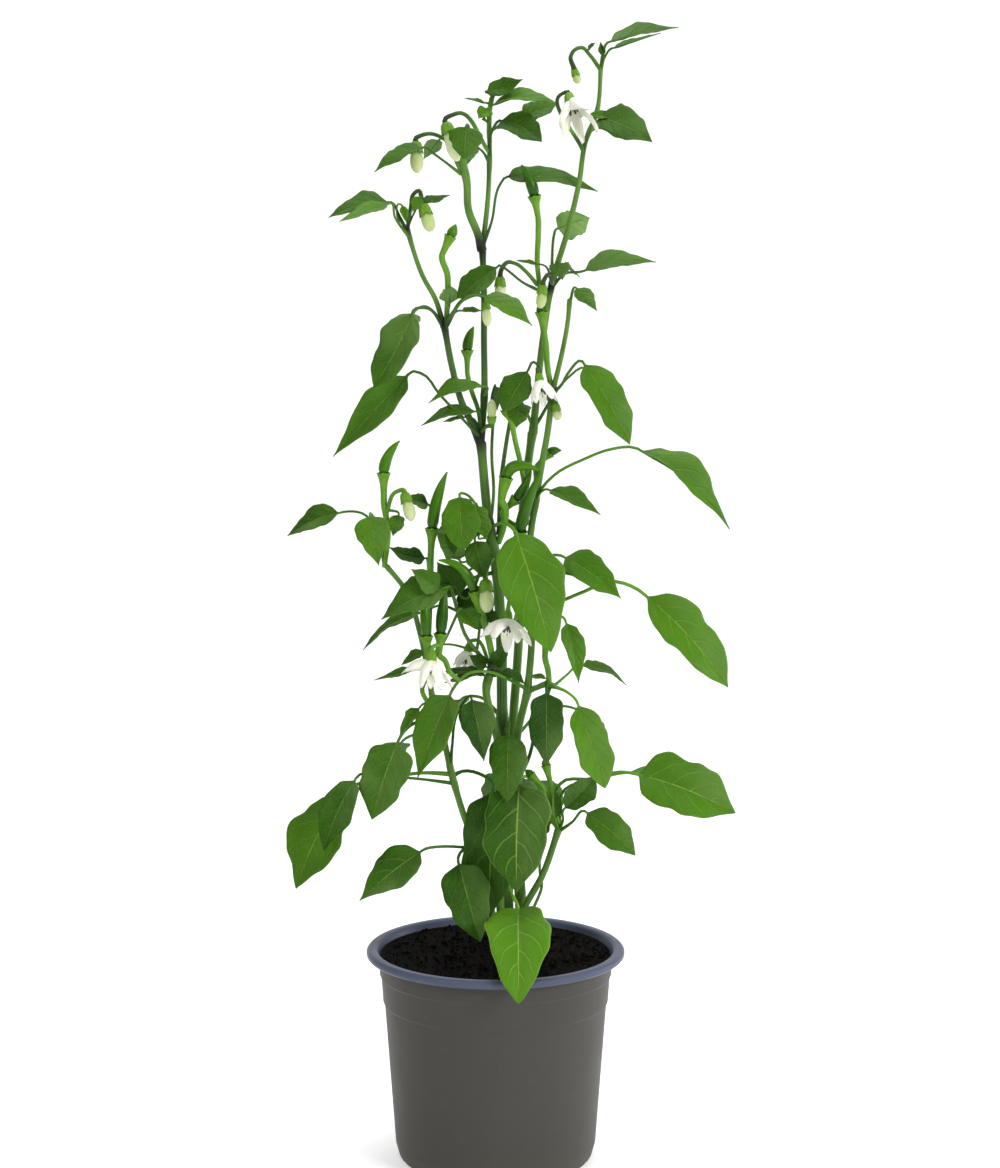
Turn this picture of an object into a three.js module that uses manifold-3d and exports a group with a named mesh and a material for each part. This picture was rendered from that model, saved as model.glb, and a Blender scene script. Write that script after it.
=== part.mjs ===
// A chilli pepper plant in a plastic nursery pot: six leafy stems that stand in the soil, with
// white nodding flowers, pale buds and young green pods.
// Millimetres, +Z up. The pot stands on z = 0 with its middle at the origin. +X is to the right
// and +Y away from someone who looks at the front of the plant.

import * as THREE from "three";
import { mergeVertices } from "three/addons/utils/BufferGeometryUtils.js";
import Module from "manifold-3d";

const wasm = await Module();
wasm.setup();

// ---------------------------------------------------------------- driving dimensions

const GAP = 0.3; // between pieces that touch

// Pot: a 14 cm nursery pot with a rolled rim and a stepped collar.
const POT_HEIGHT = 116;
const RIM_RADIUS = 70;
const RIM_INNER_RADIUS = 64;
const RIM_DEPTH = 4.6;
const COLLAR_Z = 86; // foot of the collar
const COLLAR_BAND_Z = 101; // the second, upper step of the collar
const COLLAR_STEP = 0.8;
const COLLAR_SPREAD = 1; // how much wider the lower step gets towards its top
const FOOT_RADIUS = 52.8;
const BODY_FOOT_RADIUS = 54.6; // where the wall leaves the rounded foot
const BODY_FOOT_Z = 8;
const BODY_TOP_RADIUS = 60.3; // just below the collar
const INNER_FOOT_RADIUS = 52.6;
const INNER_TOP_RADIUS = 61;
const INNER_TOP_Z = 108;
const FLOOR_TOP = 4.6;
const FLOOR_UNDERSIDE = 3;
const FOOT_RING_WIDTH = 6;
const CENTRE_PAD_RADIUS = 16;
const POT_SEGMENTS = 28;
const NOTCH_COUNT = 18;
const NOTCH_WIDTH = 5;
const NOTCH_HEIGHT = 1.8;
const DRAIN_COUNT = 6;
const DRAIN_RADIUS = 4;
const DRAIN_CIRCLE = 34;

// Soil
const SOIL_TOP = 113; // at the wall
const SOIL_MOUND = 1.5; // how much higher it lies in the middle
const CRUMB_HEIGHT = 0.8;
const SOIL_SECTORS = 24;
const SOIL_RINGS = [61.7, 52, 38, 22];
const STEM_FOOT_Z = 88; // the stems stand this deep in the soil

// Leaves
const BLADE_THICKNESS = 0.7;
const STALK_RADIUS = 0.75;
const RIB_DEPTH = 0.8; // how far the midrib stands out below the blade at its base
const BASE_ROUNDING = 0.62; // smaller is a rounder base
const TIP_SHARPNESS = 1.15; // larger is a longer, finer tip
const WAVE_SHARE = 0.055; // height of the waved margin, as a share of the width
const BLADE_SPANS = 4; // lengths that a blade is made of
const SMALL_LEAF = 12; // a blade no wider than this has one less
const LARGE_LEAF = 22; // a blade at least this wide has one more
const FOLD = 14; // degrees that each half of a blade is raised
const BLADE_TIP_RADIUS = 0.35;
const WAVES = 1.5; // waves along each margin
const MARGIN_SHIFT = 2; // radians between the waves of the two margins
const CROWDING = 1.3; // above 1, the spans are shorter towards the base

// Pods, buds and flowers
const PEDICEL_RADIUS = 0.8; // stalk of a bud or flower
const POD_STALK_RADIUS = 1.35;
const STALK_SIDES = 5;
const FRUIT_SIDES = 6;
const CALYX_LENGTH = 0.95; // of the calyx cup, as a share of its width
const CALYX_FOOT = 1.6; // radius of the cup's foot, as a share of the stalk's
const CALYX_RIM = 0.54; // radius of its rim, as a share of the width
const POD_PROFILE = [0.86, 1, 0.88, 0.6, 0.12]; // share of the width, calyx to tip
const BUD_PROFILE = [0.8, 1, 0.9, 0.26];
const PETAL_COUNT = 5;
const THROAT_RADIUS = 2.4;
const THROAT_DEPTH = 1;
const PISTIL_LENGTH = 5.5;
const PISTIL_RADII = [0.9, 0.35];
const ANTHER_RADII = [0.3, 0.6, 0.4];
const ANTHER_ROOT = [0.8, 0.3]; // below the corolla's floor, and out from the pistil's middle
const ANTHER_TIP = [4.4, 1.5];
// The margin of one lobe: degrees from its middle, and its length there as a share of the lobe's.
const PETAL_EDGE = [
  [-36, 0.3],
  [-18, 0.76],
  [0, 1],
  [18, 0.76],
];

// ---------------------------------------------------------------- solids

const point = ([x, y, z]) => new THREE.Vector3(x, y, z);

function toSolid(geometry) {
  const bare = geometry.clone();
  bare.deleteAttribute("normal");
  bare.deleteAttribute("uv");
  const merged = mergeVertices(bare, 1e-4);
  return new wasm.Manifold(
    new wasm.Mesh({
      numProp: 3,
      vertProperties: new Float32Array(merged.attributes.position.array),
      triVerts: new Uint32Array(merged.index.array),
    }),
  );
}

function toGeometry(solid) {
  const { vertProperties, triVerts } = solid.getMesh();
  const geometry = new THREE.BufferGeometry();
  geometry.setAttribute("position", new THREE.BufferAttribute(vertProperties, 3));
  geometry.setIndex(new THREE.BufferAttribute(triVerts, 1));
  return geometry;
}

function fuse(geometries) {
  const [first, ...rest] = geometries.map(toSolid);
  return rest.reduce((whole, piece) => whole.add(piece), first);
}

// Skins a row of rings that have the same number of points, and closes both ends with a fan.
// From the point mirrorFrom on, the squares are split the other way, so that the two faces of
// a thin blade have the same triangles.
function skin(rings, mirrorFrom = Infinity) {
  const count = rings[0].length;
  const middle = (ring) => ring.reduce((sum, p) => sum.add(p), new THREE.Vector3()).divideScalar(count);
  const points = [...rings.flat(), middle(rings[0]), middle(rings.at(-1))];
  const startPoint = points.length - 2;
  const endPoint = points.length - 1;
  const at = (ring, spot) => ring * count + (spot % count);
  const faces = [];
  for (let ring = 0; ring + 1 < rings.length; ring += 1) {
    for (let spot = 0; spot < count; spot += 1) {
      const a = at(ring, spot);
      const b = at(ring, spot + 1);
      const c = at(ring + 1, spot + 1);
      const d = at(ring + 1, spot);
      const split = spot < mirrorFrom ? [a, b, c, a, c, d] : [a, b, d, b, c, d];
      faces.push(...split);
    }
  }
  for (let spot = 0; spot < count; spot += 1) {
    faces.push(startPoint, at(0, spot + 1), at(0, spot));
    faces.push(endPoint, at(rings.length - 1, spot), at(rings.length - 1, spot + 1));
  }
  const geometry = new THREE.BufferGeometry().setFromPoints(points);
  geometry.setIndex(faces);
  return geometry;
}

// The direction of a path at each of its points.
function directions(path) {
  return path.map((_, i) => {
    const before = path[Math.max(i - 1, 0)];
    const after = path[Math.min(i + 1, path.length - 1)];
    return after.clone().sub(before).normalize();
  });
}

// Any direction square to this one.
function squareTo(direction) {
  const helper = Math.abs(direction.z) > 0.9 ? new THREE.Vector3(1, 0, 0) : new THREE.Vector3(0, 0, 1);
  return helper.cross(direction).normalize();
}

// A round rod along a path, with a radius for each point.
function rod(path, radii, sides) {
  const ways = directions(path);
  const across = squareTo(ways[0]);
  const rings = path.map((centre, i) => {
    if (i > 0) {
      across.applyQuaternion(new THREE.Quaternion().setFromUnitVectors(ways[i - 1], ways[i]));
    }
    const over = ways[i].clone().cross(across);
    const ring = [];
    for (let side = 0; side < sides; side += 1) {
      const angle = (2 * Math.PI * side) / sides;
      ring.push(
        centre
          .clone()
          .addScaledVector(across, radii[i] * Math.cos(angle))
          .addScaledVector(over, radii[i] * Math.sin(angle)),
      );
    }
    return ring;
  });
  return skin(rings);
}

// The radii of a rod of this many points that tapers evenly.
function taper(count, [start, end]) {
  return Array.from({ length: count }, (_, i) => THREE.MathUtils.lerp(start, end, i / (count - 1)));
}

// ---------------------------------------------------------------- leaves and petals

// Half width of a blade along its midrib, as a share of the widest; 0 is its base and 1 its tip.
function outline(along) {
  const widest = BASE_ROUNDING / (BASE_ROUNDING + TIP_SHARPNESS);
  const rise = (along / widest) ** BASE_ROUNDING;
  const fall = ((1 - along) / (1 - widest)) ** TIP_SHARPNESS;
  return rise * fall;
}

// Rings of a thin blade from base to tip. face points away from its upper side, fold raises both
// halves, bow arches the midrib towards the upper side, and sway bends it sideways.
function bladeRings({ base, tip, face, width, fold = FOLD, bow = 0, sway = 0, wave = WAVE_SHARE }, spans) {
  const start = point(base);
  const chord = point(tip).sub(start);
  const along = chord.clone().normalize();
  const up = point(face).addScaledVector(along, -point(face).dot(along)).normalize();
  const side = along.clone().cross(up);
  const raise = THREE.MathUtils.degToRad(fold);
  const phase = base[0] + base[2];
  const rings = [];
  const frames = [];
  for (let span = 0; span <= spans; span += 1) {
    const s = (span / spans) ** CROWDING;
    const arch = Math.sin(Math.PI * s);
    const middle = start
      .clone()
      .addScaledVector(chord, s)
      .addScaledVector(up, bow * arch)
      .addScaledVector(side, sway * arch);
    const tangent = chord
      .clone()
      .addScaledVector(up, bow * Math.PI * Math.cos(Math.PI * s))
      .addScaledVector(side, sway * Math.PI * Math.cos(Math.PI * s))
      .normalize();
    const normal = side.clone().cross(tangent).normalize();
    const right = tangent.clone().cross(normal);
    const half = Math.max((width / 2) * outline(s), THREE.MathUtils.lerp(STALK_RADIUS, BLADE_TIP_RADIUS, s));
    const ripple = (turn) =>
      wave * width * outline(s) * Math.sin(2 * WAVES * Math.PI * s + phase + turn);
    const spot = (sideways, height) =>
      middle.clone().addScaledVector(right, sideways).addScaledVector(normal, height);
    const reach = half * Math.cos(raise);
    const lift = half * Math.sin(raise);
    const leftLift = lift + ripple(0);
    const rightLift = lift + ripple(MARGIN_SHIFT);
    const skinHalf = BLADE_THICKNESS / 2;
    const rib = RIB_DEPTH * (1 - s);
    rings.push([
      spot(-reach, leftLift + skinHalf),
      spot(0, skinHalf),
      spot(reach, rightLift + skinHalf),
      spot(reach, rightLift - skinHalf),
      spot(0, -skinHalf - rib),
      spot(-reach, leftLift - skinHalf),
    ]);
    frames.push({ tangent, normal, right });
  }
  return { rings, frames };
}

const BLADE_MIRROR = 3; // the ring's point where the underside starts

// A leaf: its stalk runs from inside the stem through the points of stalk to the blade's base.
function leaf(shape) {
  const spans = BLADE_SPANS + (shape.width >= LARGE_LEAF) - (shape.width <= SMALL_LEAF);
  const { rings, frames } = bladeRings(shape, spans);
  const path = [...shape.stalk.map(point), point(shape.base)];
  const ways = directions(path);
  ways[ways.length - 1].copy(frames[0].tangent);
  const { normal, right } = frames[0];
  const stalkRings = [];
  for (let i = path.length - 2; i >= 0; i -= 1) {
    const turn = new THREE.Quaternion().setFromUnitVectors(ways[i + 1], ways[i]);
    normal.applyQuaternion(turn);
    right.applyQuaternion(turn);
    const ring = [];
    for (let side = 0; side < 6; side += 1) {
      const angle = Math.PI * (5 / 6 - side / 3);
      ring.push(
        path[i]
          .clone()
          .addScaledVector(right, STALK_RADIUS * Math.cos(angle))
          .addScaledVector(normal, STALK_RADIUS * Math.sin(angle)),
      );
    }
    stalkRings.unshift(ring);
  }
  return skin([...stalkRings, ...rings], BLADE_MIRROR);
}

// ---------------------------------------------------------------- pods, buds and flowers

// The stalk of a pod, bud or flower, which widens into the calyx cup that ends at the mouth. The
// cup lies on the line of what it holds.
function calyx({ stalk, mouth, middle, tip, width, thick = PEDICEL_RADIUS }) {
  const rim = point(mouth);
  const back = rim.clone().sub(point(middle ?? tip)).normalize();
  const foot = rim.clone().addScaledVector(back, CALYX_LENGTH * width);
  const path = [...stalk.map(point), foot, rim];
  const radii = [...stalk.map(() => thick), CALYX_FOOT * thick, CALYX_RIM * width];
  return rod(path, radii, STALK_SIDES);
}

// A pod or bud from the calyx mouth to its tip, bent through the middle point if it has one.
function fruit({ mouth, middle, tip, width }, profile) {
  const start = point(mouth);
  const end = point(tip);
  const bend = middle ? point(middle) : start.clone().lerp(end, 0.5);
  const curve = new THREE.QuadraticBezierCurve3(start, bend, end);
  const length = curve.getLength();
  const path = profile.map((_, i) => {
    const share = i / (profile.length - 1);
    return curve.getPointAt(THREE.MathUtils.lerp(GAP / length, 1, share));
  });
  const radii = profile.map((share) => (share * width) / 2);
  return rod(path, radii, FRUIT_SIDES);
}

// The axis of a flower and five directions square to it, for its petals and anthers.
function star({ mouth, tip }) {
  const axis = point(tip).sub(point(mouth)).normalize();
  const across = squareTo(axis);
  const spokes = [];
  for (let i = 0; i < PETAL_COUNT; i += 1) {
    spokes.push(across.clone().applyAxisAngle(axis, (2 * Math.PI * i) / PETAL_COUNT));
  }
  return { axis, spokes };
}

// White corolla: a cup below the calyx that is parted into five pointed lobes. flare is the
// angle of the lobes to the flower's axis.
function corolla(flower) {
  const { axis, spokes } = star(flower);
  const top = point(flower.mouth).addScaledVector(axis, GAP);
  const flare = THREE.MathUtils.degToRad(flower.flare);
  // One ring of the outer or inner face; reach is 0 at the throat and 1 at the lobes' tips.
  const ring = (reach, depth) =>
    spokes.flatMap((spoke) =>
      PETAL_EDGE.map(([turn, length]) => {
        const ray = spoke.clone().applyAxisAngle(axis, THREE.MathUtils.degToRad(turn));
        const along = flower.petal * length * reach;
        const angle = flare * (0.75 + 0.4 * length * reach);
        return top
          .clone()
          .addScaledVector(axis, depth + along * Math.cos(angle) - depth * 0.5 * Math.sin(angle) * reach)
          .addScaledVector(ray, THROAT_RADIUS - depth * Math.cos(angle) * 0.5 + along * Math.sin(angle));
      }),
    );
  const outside = [0, 0.55, 1].map((reach) => ring(reach, 0));
  const inside = [1, 0.55, 0].map((reach) => ring(reach, THROAT_DEPTH));
  return skin([...outside, ...inside]);
}

// Dark anthers round the pistil, below the floor of the corolla.
function stamens(flower) {
  const { axis, spokes } = star(flower);
  const floor = point(flower.mouth).addScaledVector(axis, 2 * GAP + THROAT_DEPTH);
  const end = floor.clone().addScaledVector(axis, PISTIL_LENGTH);
  const pistil = rod([floor, end], PISTIL_RADII, 5);
  const anthers = spokes.map((spoke) => {
    const [root, tip] = [ANTHER_ROOT, ANTHER_TIP].map(([down, out]) =>
      floor.clone().addScaledVector(axis, down).addScaledVector(spoke, out),
    );
    return rod([root, root.clone().lerp(tip, 0.6), tip], ANTHER_RADII, 3);
  });
  return fuse([pistil, ...anthers]);
}

// ---------------------------------------------------------------- pot and soil

function makePot() {
  const rimFoot = POT_HEIGHT - RIM_DEPTH;
  const upperWall = BODY_TOP_RADIUS + COLLAR_STEP;
  const bandFoot = upperWall + COLLAR_SPREAD;
  const band = bandFoot + COLLAR_STEP;
  const profile = [
    [0, 0],
    [CENTRE_PAD_RADIUS, 0],
    [CENTRE_PAD_RADIUS + 2, FLOOR_UNDERSIDE],
    [FOOT_RADIUS - FOOT_RING_WIDTH, FLOOR_UNDERSIDE],
    [FOOT_RADIUS - FOOT_RING_WIDTH, 0],
    [FOOT_RADIUS - 1, 0],
    [FOOT_RADIUS, 1.5],
    [BODY_FOOT_RADIUS, BODY_FOOT_Z],
    [BODY_TOP_RADIUS, COLLAR_Z],
    [upperWall, COLLAR_Z + COLLAR_STEP],
    [bandFoot, COLLAR_BAND_Z],
    [band, COLLAR_BAND_Z + COLLAR_STEP],
    [band + 0.3, rimFoot],
    [RIM_RADIUS - 1.4, rimFoot],
    [RIM_RADIUS, rimFoot + 1.2],
    [RIM_RADIUS, POT_HEIGHT - 1.4],
    [RIM_RADIUS - 1.4, POT_HEIGHT],
    [RIM_INNER_RADIUS + 1.4, POT_HEIGHT],
    [RIM_INNER_RADIUS, POT_HEIGHT - 0.8],
    [INNER_TOP_RADIUS, INNER_TOP_Z],
    [INNER_FOOT_RADIUS, FLOOR_TOP],
    [0, FLOOR_TOP],
  ].map(([radius, height]) => new THREE.Vector2(radius, height));
  const turned = new THREE.LatheGeometry(profile, POT_SEGMENTS).rotateX(Math.PI / 2);
  let pot = toSolid(turned);
  for (let i = 0; i < NOTCH_COUNT; i += 1) {
    const notch = new THREE.BoxGeometry(4 * FOOT_RING_WIDTH, NOTCH_WIDTH, 2 * NOTCH_HEIGHT);
    notch.translate(FOOT_RADIUS, 0, 0).rotateZ((2 * Math.PI * i) / NOTCH_COUNT);
    pot = pot.subtract(toSolid(notch));
  }
  for (let i = 0; i < DRAIN_COUNT; i += 1) {
    const drain = new THREE.CylinderGeometry(DRAIN_RADIUS, DRAIN_RADIUS, 4 * FLOOR_TOP, 8);
    drain.rotateX(Math.PI / 2).translate(DRAIN_CIRCLE, 0, 0).rotateZ((2 * Math.PI * i) / DRAIN_COUNT);
    pot = pot.subtract(toSolid(drain));
  }
  return pot;
}

// The height of the crumbly soil surface.
function soilHeight(x, y) {
  const mound = SOIL_MOUND * (1 - Math.hypot(x, y) / RIM_INNER_RADIUS);
  const coarse = Math.sin(0.9 * x + 1.3 * y) + Math.sin(1.7 * x - 0.8 * y + 2);
  const fine = Math.sin(2.3 * y - 0.5 * x);
  return SOIL_TOP + mound + (CRUMB_HEIGHT * (coarse + fine)) / 2;
}

function makeSoil(stems) {
  const circle = (radius, height) => {
    const ring = [];
    for (let sector = 0; sector < SOIL_SECTORS; sector += 1) {
      const angle = (2 * Math.PI * sector) / SOIL_SECTORS;
      const x = radius * Math.cos(angle);
      const y = radius * Math.sin(angle);
      ring.push(new THREE.Vector3(x, y, height ?? soilHeight(x, y)));
    }
    return ring;
  };
  const clearance = GAP + 0.1;
  const floor = FLOOR_TOP + GAP;
  const slope = (INNER_TOP_RADIUS - INNER_FOOT_RADIUS) / (INNER_TOP_Z - FLOOR_TOP);
  const wallRadius = (height) => INNER_FOOT_RADIUS + slope * (height - FLOOR_TOP) - clearance;
  const body = skin([
    circle(wallRadius(floor), floor),
    circle(wallRadius(INNER_TOP_Z), INNER_TOP_Z),
    ...SOIL_RINGS.map((radius) => circle(radius)),
  ]);
  return stems.reduce((soil, { path, radius }) => {
    const [foot, next] = path.map(point);
    const end = foot.clone().addScaledVector(next.clone().sub(foot).normalize(), -GAP);
    const holeRadius = radius[0] / Math.cos(Math.PI / 8) + GAP;
    return soil.subtract(toSolid(rod([end, next], [holeRadius, holeRadius], 8)));
  }, toSolid(body));
}

// ---------------------------------------------------------------- the six leafy stems
//
// Every path, leaf, pod, bud and flower is placed by eye. A stem's path starts at its foot in
// the soil, or inside the stem that it grows from.

const trunk = {
  name: "trunk_shoot",
  stems: [
    {
      radius: [3.3, 2.3],
      path: [
        [7.5, 3.6, STEM_FOOT_Z], [6, 4, 170], [4, 6, 229], [2, 7, 305], [0, 6, 327],
        [-3, 5, 343], [-8, 3, 392],
      ],
    },
    { radius: [1.8, 1.6], path: [[-8, 3, 389], [-6, 4, 412], [-6, 5, 444], [-6, 4, 470], [-7, 2, 494]] },
    {
      radius: [2.1, 1.9],
      path: [[-7, 2, 491], [-9, 0, 499], [-14, -3, 512], [-15, -5, 527], [-18, -7, 539]],
    },
    { radius: [1.4, 1], path: [[-7, 2, 491], [-4, 6, 517], [-3, 9, 543], [-3, 10, 564], [-2, 9, 571]] },
    {
      radius: [1.9, 1.6],
      path: [[-8, 3, 389], [-12, 2, 399], [-18, 0, 412], [-23, -4, 431], [-27, -8, 453]],
    },
    {
      radius: [1.4, 1.1],
      path: [[-27, -8, 451], [-31, -9, 465], [-38, -10, 478], [-43, -11, 492], [-46, -12, 503]],
    },
  ],
  leaves: [
    { stalk: [[-2, 9, 568]], base: [-6, 8, 573], tip: [15, -6, 579], face: [0.1, -0.8, 0.6], width: 10 },
    { stalk: [[-3, 10, 562]], base: [-1, 8, 566], tip: [23, 2, 568], face: [0, -0.3, 1], width: 11 },
    {
      stalk: [[-3, 10, 556], [4, 12, 561]], base: [14, 14, 563],
      tip: [34, 22, 568], face: [0, -0.7, 0.7], width: 13,
    },
    {
      stalk: [[-3, 9, 544], [-2, 7, 549]], base: [1, 4, 556], tip: [24, -18, 547],
      face: [0.1, -0.6, 0.8], width: 17, bow: 2,
    },
    {
      stalk: [[-18, -7, 537], [-15, -3, 547]], base: [-16, -4, 554],
      tip: [-17, -17, 536], face: [0, -0.9, 0.45], width: 16,
    },
    {
      stalk: [[-7, 2, 492], [-2, -2, 506], [1, -4, 522]], base: [6, -5, 530], tip: [53, -24, 521],
      face: [-0.1, -0.2, 1], width: 17, bow: 3,
    },
    {
      stalk: [[-16, -6, 531], [-26, -7, 536]], base: [-37, -7, 543], tip: [-62, -16, 530],
      face: [-0.3, -0.5, 0.85], width: 15, bow: 2,
    },
    {
      stalk: [[-17, -6, 536], [-22, -1, 547]], base: [-29, 3, 549],
      tip: [-38, 14, 539], face: [0, 0.6, 0.8], width: 9,
    },
    {
      stalk: [[-46, -12, 501], [-50, -12, 509]], base: [-54, -12, 516], tip: [-86, -24, 508],
      face: [-0.2, -0.6, 0.8], width: 15, bow: 3,
    },
    {
      stalk: [[-45, -12, 498], [-52, -15, 506]], base: [-57, -17, 510],
      tip: [-80, -34, 503], face: [-0.2, -0.4, 0.9], width: 11,
    },
    {
      stalk: [[-46, -12, 502], [-43, -10, 509]], base: [-39, -8, 515],
      tip: [-24, 2, 520], face: [0, -0.5, 0.9], width: 8,
    },
    {
      stalk: [[-27, -8, 451], [-35, -12, 461]], base: [-41, -15, 462], tip: [-63, -28, 418],
      face: [-0.35, -0.9, 0.3], width: 21, sway: -3, bow: 3,
    },
    {
      stalk: [[-8, 3, 392], [-13, -3, 398], [-21, -8, 407], [-30, -10, 417], [-37, -9, 426]],
      base: [-44, -7, 428], tip: [-85, -18, 384], face: [0.35, -0.7, 0.6], width: 20, fold: 30, bow: 3,
    },
    {
      stalk: [[-27, -8, 451], [-24, -14, 460]], base: [-20, -17, 465], tip: [2, -24, 483],
      face: [-0.3, -0.9, 0.4], width: 15,
    },
    {
      stalk: [[-27, -8, 452]], base: [-24, -12, 463],
      tip: [-23, -26, 473], face: [0, -0.3, 1], width: 11,
    },
    {
      stalk: [[-27, -8, 452], [-19, -20, 463], [-13, -26, 468]], base: [-7, -28, 468], tip: [19, -40, 453],
      face: [0.2, -0.7, 0.7], width: 14, bow: 3,
    },
    {
      stalk: [[-6, 4, 414]], base: [-5, -5, 420], tip: [-35, -16, 412],
      face: [-0.1, -0.4, 0.9], width: 15, bow: 4,
    },
    {
      stalk: [[-8, 3, 396], [-8, -2, 403]], base: [-9, -6, 407],
      tip: [-39, -14, 400], face: [-0.1, -0.4, 0.9], width: 12, bow: 3,
    },
    {
      stalk: [[-3, 5, 343], [1, -4, 347], [6, -12, 348]], base: [9, -17, 344], tip: [29, -40, 283],
      face: [0.1, -0.95, 0.3], width: 35, bow: 5, fold: 8,
    },
    {
      stalk: [[4, 6, 230], [7, -2, 240]], base: [7, -12, 237],
      tip: [5, -36, 210], face: [0, -0.85, 0.55], width: 19, bow: 2,
    },
    {
      stalk: [[6, 4, 163], [6, -10, 157], [8, -22, 152]], base: [12, -31, 146], tip: [13, -79, 108],
      face: [0, -0.72, 0.7], width: 31, bow: 9, fold: 10,
    },
    {
      stalk: [[-3, 5, 341], [-9, 6, 354], [-15, 2, 362]], base: [-19, -4, 363],
      tip: [-16, -20, 339], face: [0, -0.9, 0.4], width: 20, bow: 2,
    },
    {
      stalk: [[-3, 5, 340], [-8, -6, 343]], base: [-11, -12, 340],
      tip: [-6, -24, 320], face: [0, -0.9, 0.4], width: 15,
    },
    {
      stalk: [[-1, 6, 332], [-12, -6, 333]], base: [-21, -14, 331],
      tip: [-31, -22, 345], face: [0.2, -0.8, 0.5], width: 11,
    },
    {
      stalk: [[5, 5, 198], [1, 15, 209]], base: [-4, 24, 211], tip: [-14, 54, 174],
      face: [-0.2, 0.8, 0.6], width: 28, bow: 4,
    },
    {
      stalk: [[-2, 6, 337], [-8, 14, 347]], base: [-13, 22, 347], tip: [-27, 46, 320],
      face: [-0.3, 0.7, 0.6], width: 24, bow: 3,
    },
  ],
  pods: [
    {
      stalk: [[-8, 4, 397], [-9, 9, 407], [-12, 10, 417]],
      mouth: [-13, 10, 425], middle: [-15, 9, 438], tip: [-15, 8, 451], width: 6,
    },
    {
      stalk: [[1, 6, 336], [4, 4, 366], [7, 3, 384]],
      mouth: [8, 3, 393], middle: [8, 2, 401], tip: [8, 2, 409], width: 7,
    },
    {
      stalk: [[1, 6, 334], [6, -2, 348]],
      mouth: [7, -4, 356], middle: [7, -5, 368], tip: [6, -5, 380], width: 6.5,
    },
    {
      stalk: [[-26, -8, 450], [-25, -12, 465], [-25, -13, 488]],
      mouth: [-24, -14, 495], tip: [-23, -14, 504], width: 5.5,
    },
  ],
  buds: [
    {
      stalk: [[-3, 9, 542], [-10, -1, 556], [-20, -9, 562]],
      mouth: [-26, -15, 554], tip: [-20, -22, 537], width: 6,
    },
    {
      stalk: [[-17, -7, 536], [-30, -14, 550], [-38, -18, 554]],
      mouth: [-41, -20, 544], tip: [-41, -22, 531], width: 7.2,
    },
    {
      stalk: [[-46, -12, 500], [-45, -7, 514], [-41, -8, 521]],
      mouth: [-37, -11, 515], tip: [-33, -14, 501], width: 6.5,
    },
    {
      stalk: [[-26, -8, 451], [-16, -11, 466], [-8, -14, 468]],
      mouth: [-5, -16, 462], tip: [-4, -16, 452], width: 5,
    },
    { stalk: [[-1, 6, 328], [-4, -4, 325]], mouth: [-5, -9, 314], tip: [-5, -11, 301], width: 7.5 },
    { stalk: [[-8, 3, 395], [-4, -2, 399]], mouth: [-2, -4, 403], tip: [-2, -6, 413], width: 5 },
  ],
  flowers: [],
};

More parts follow.
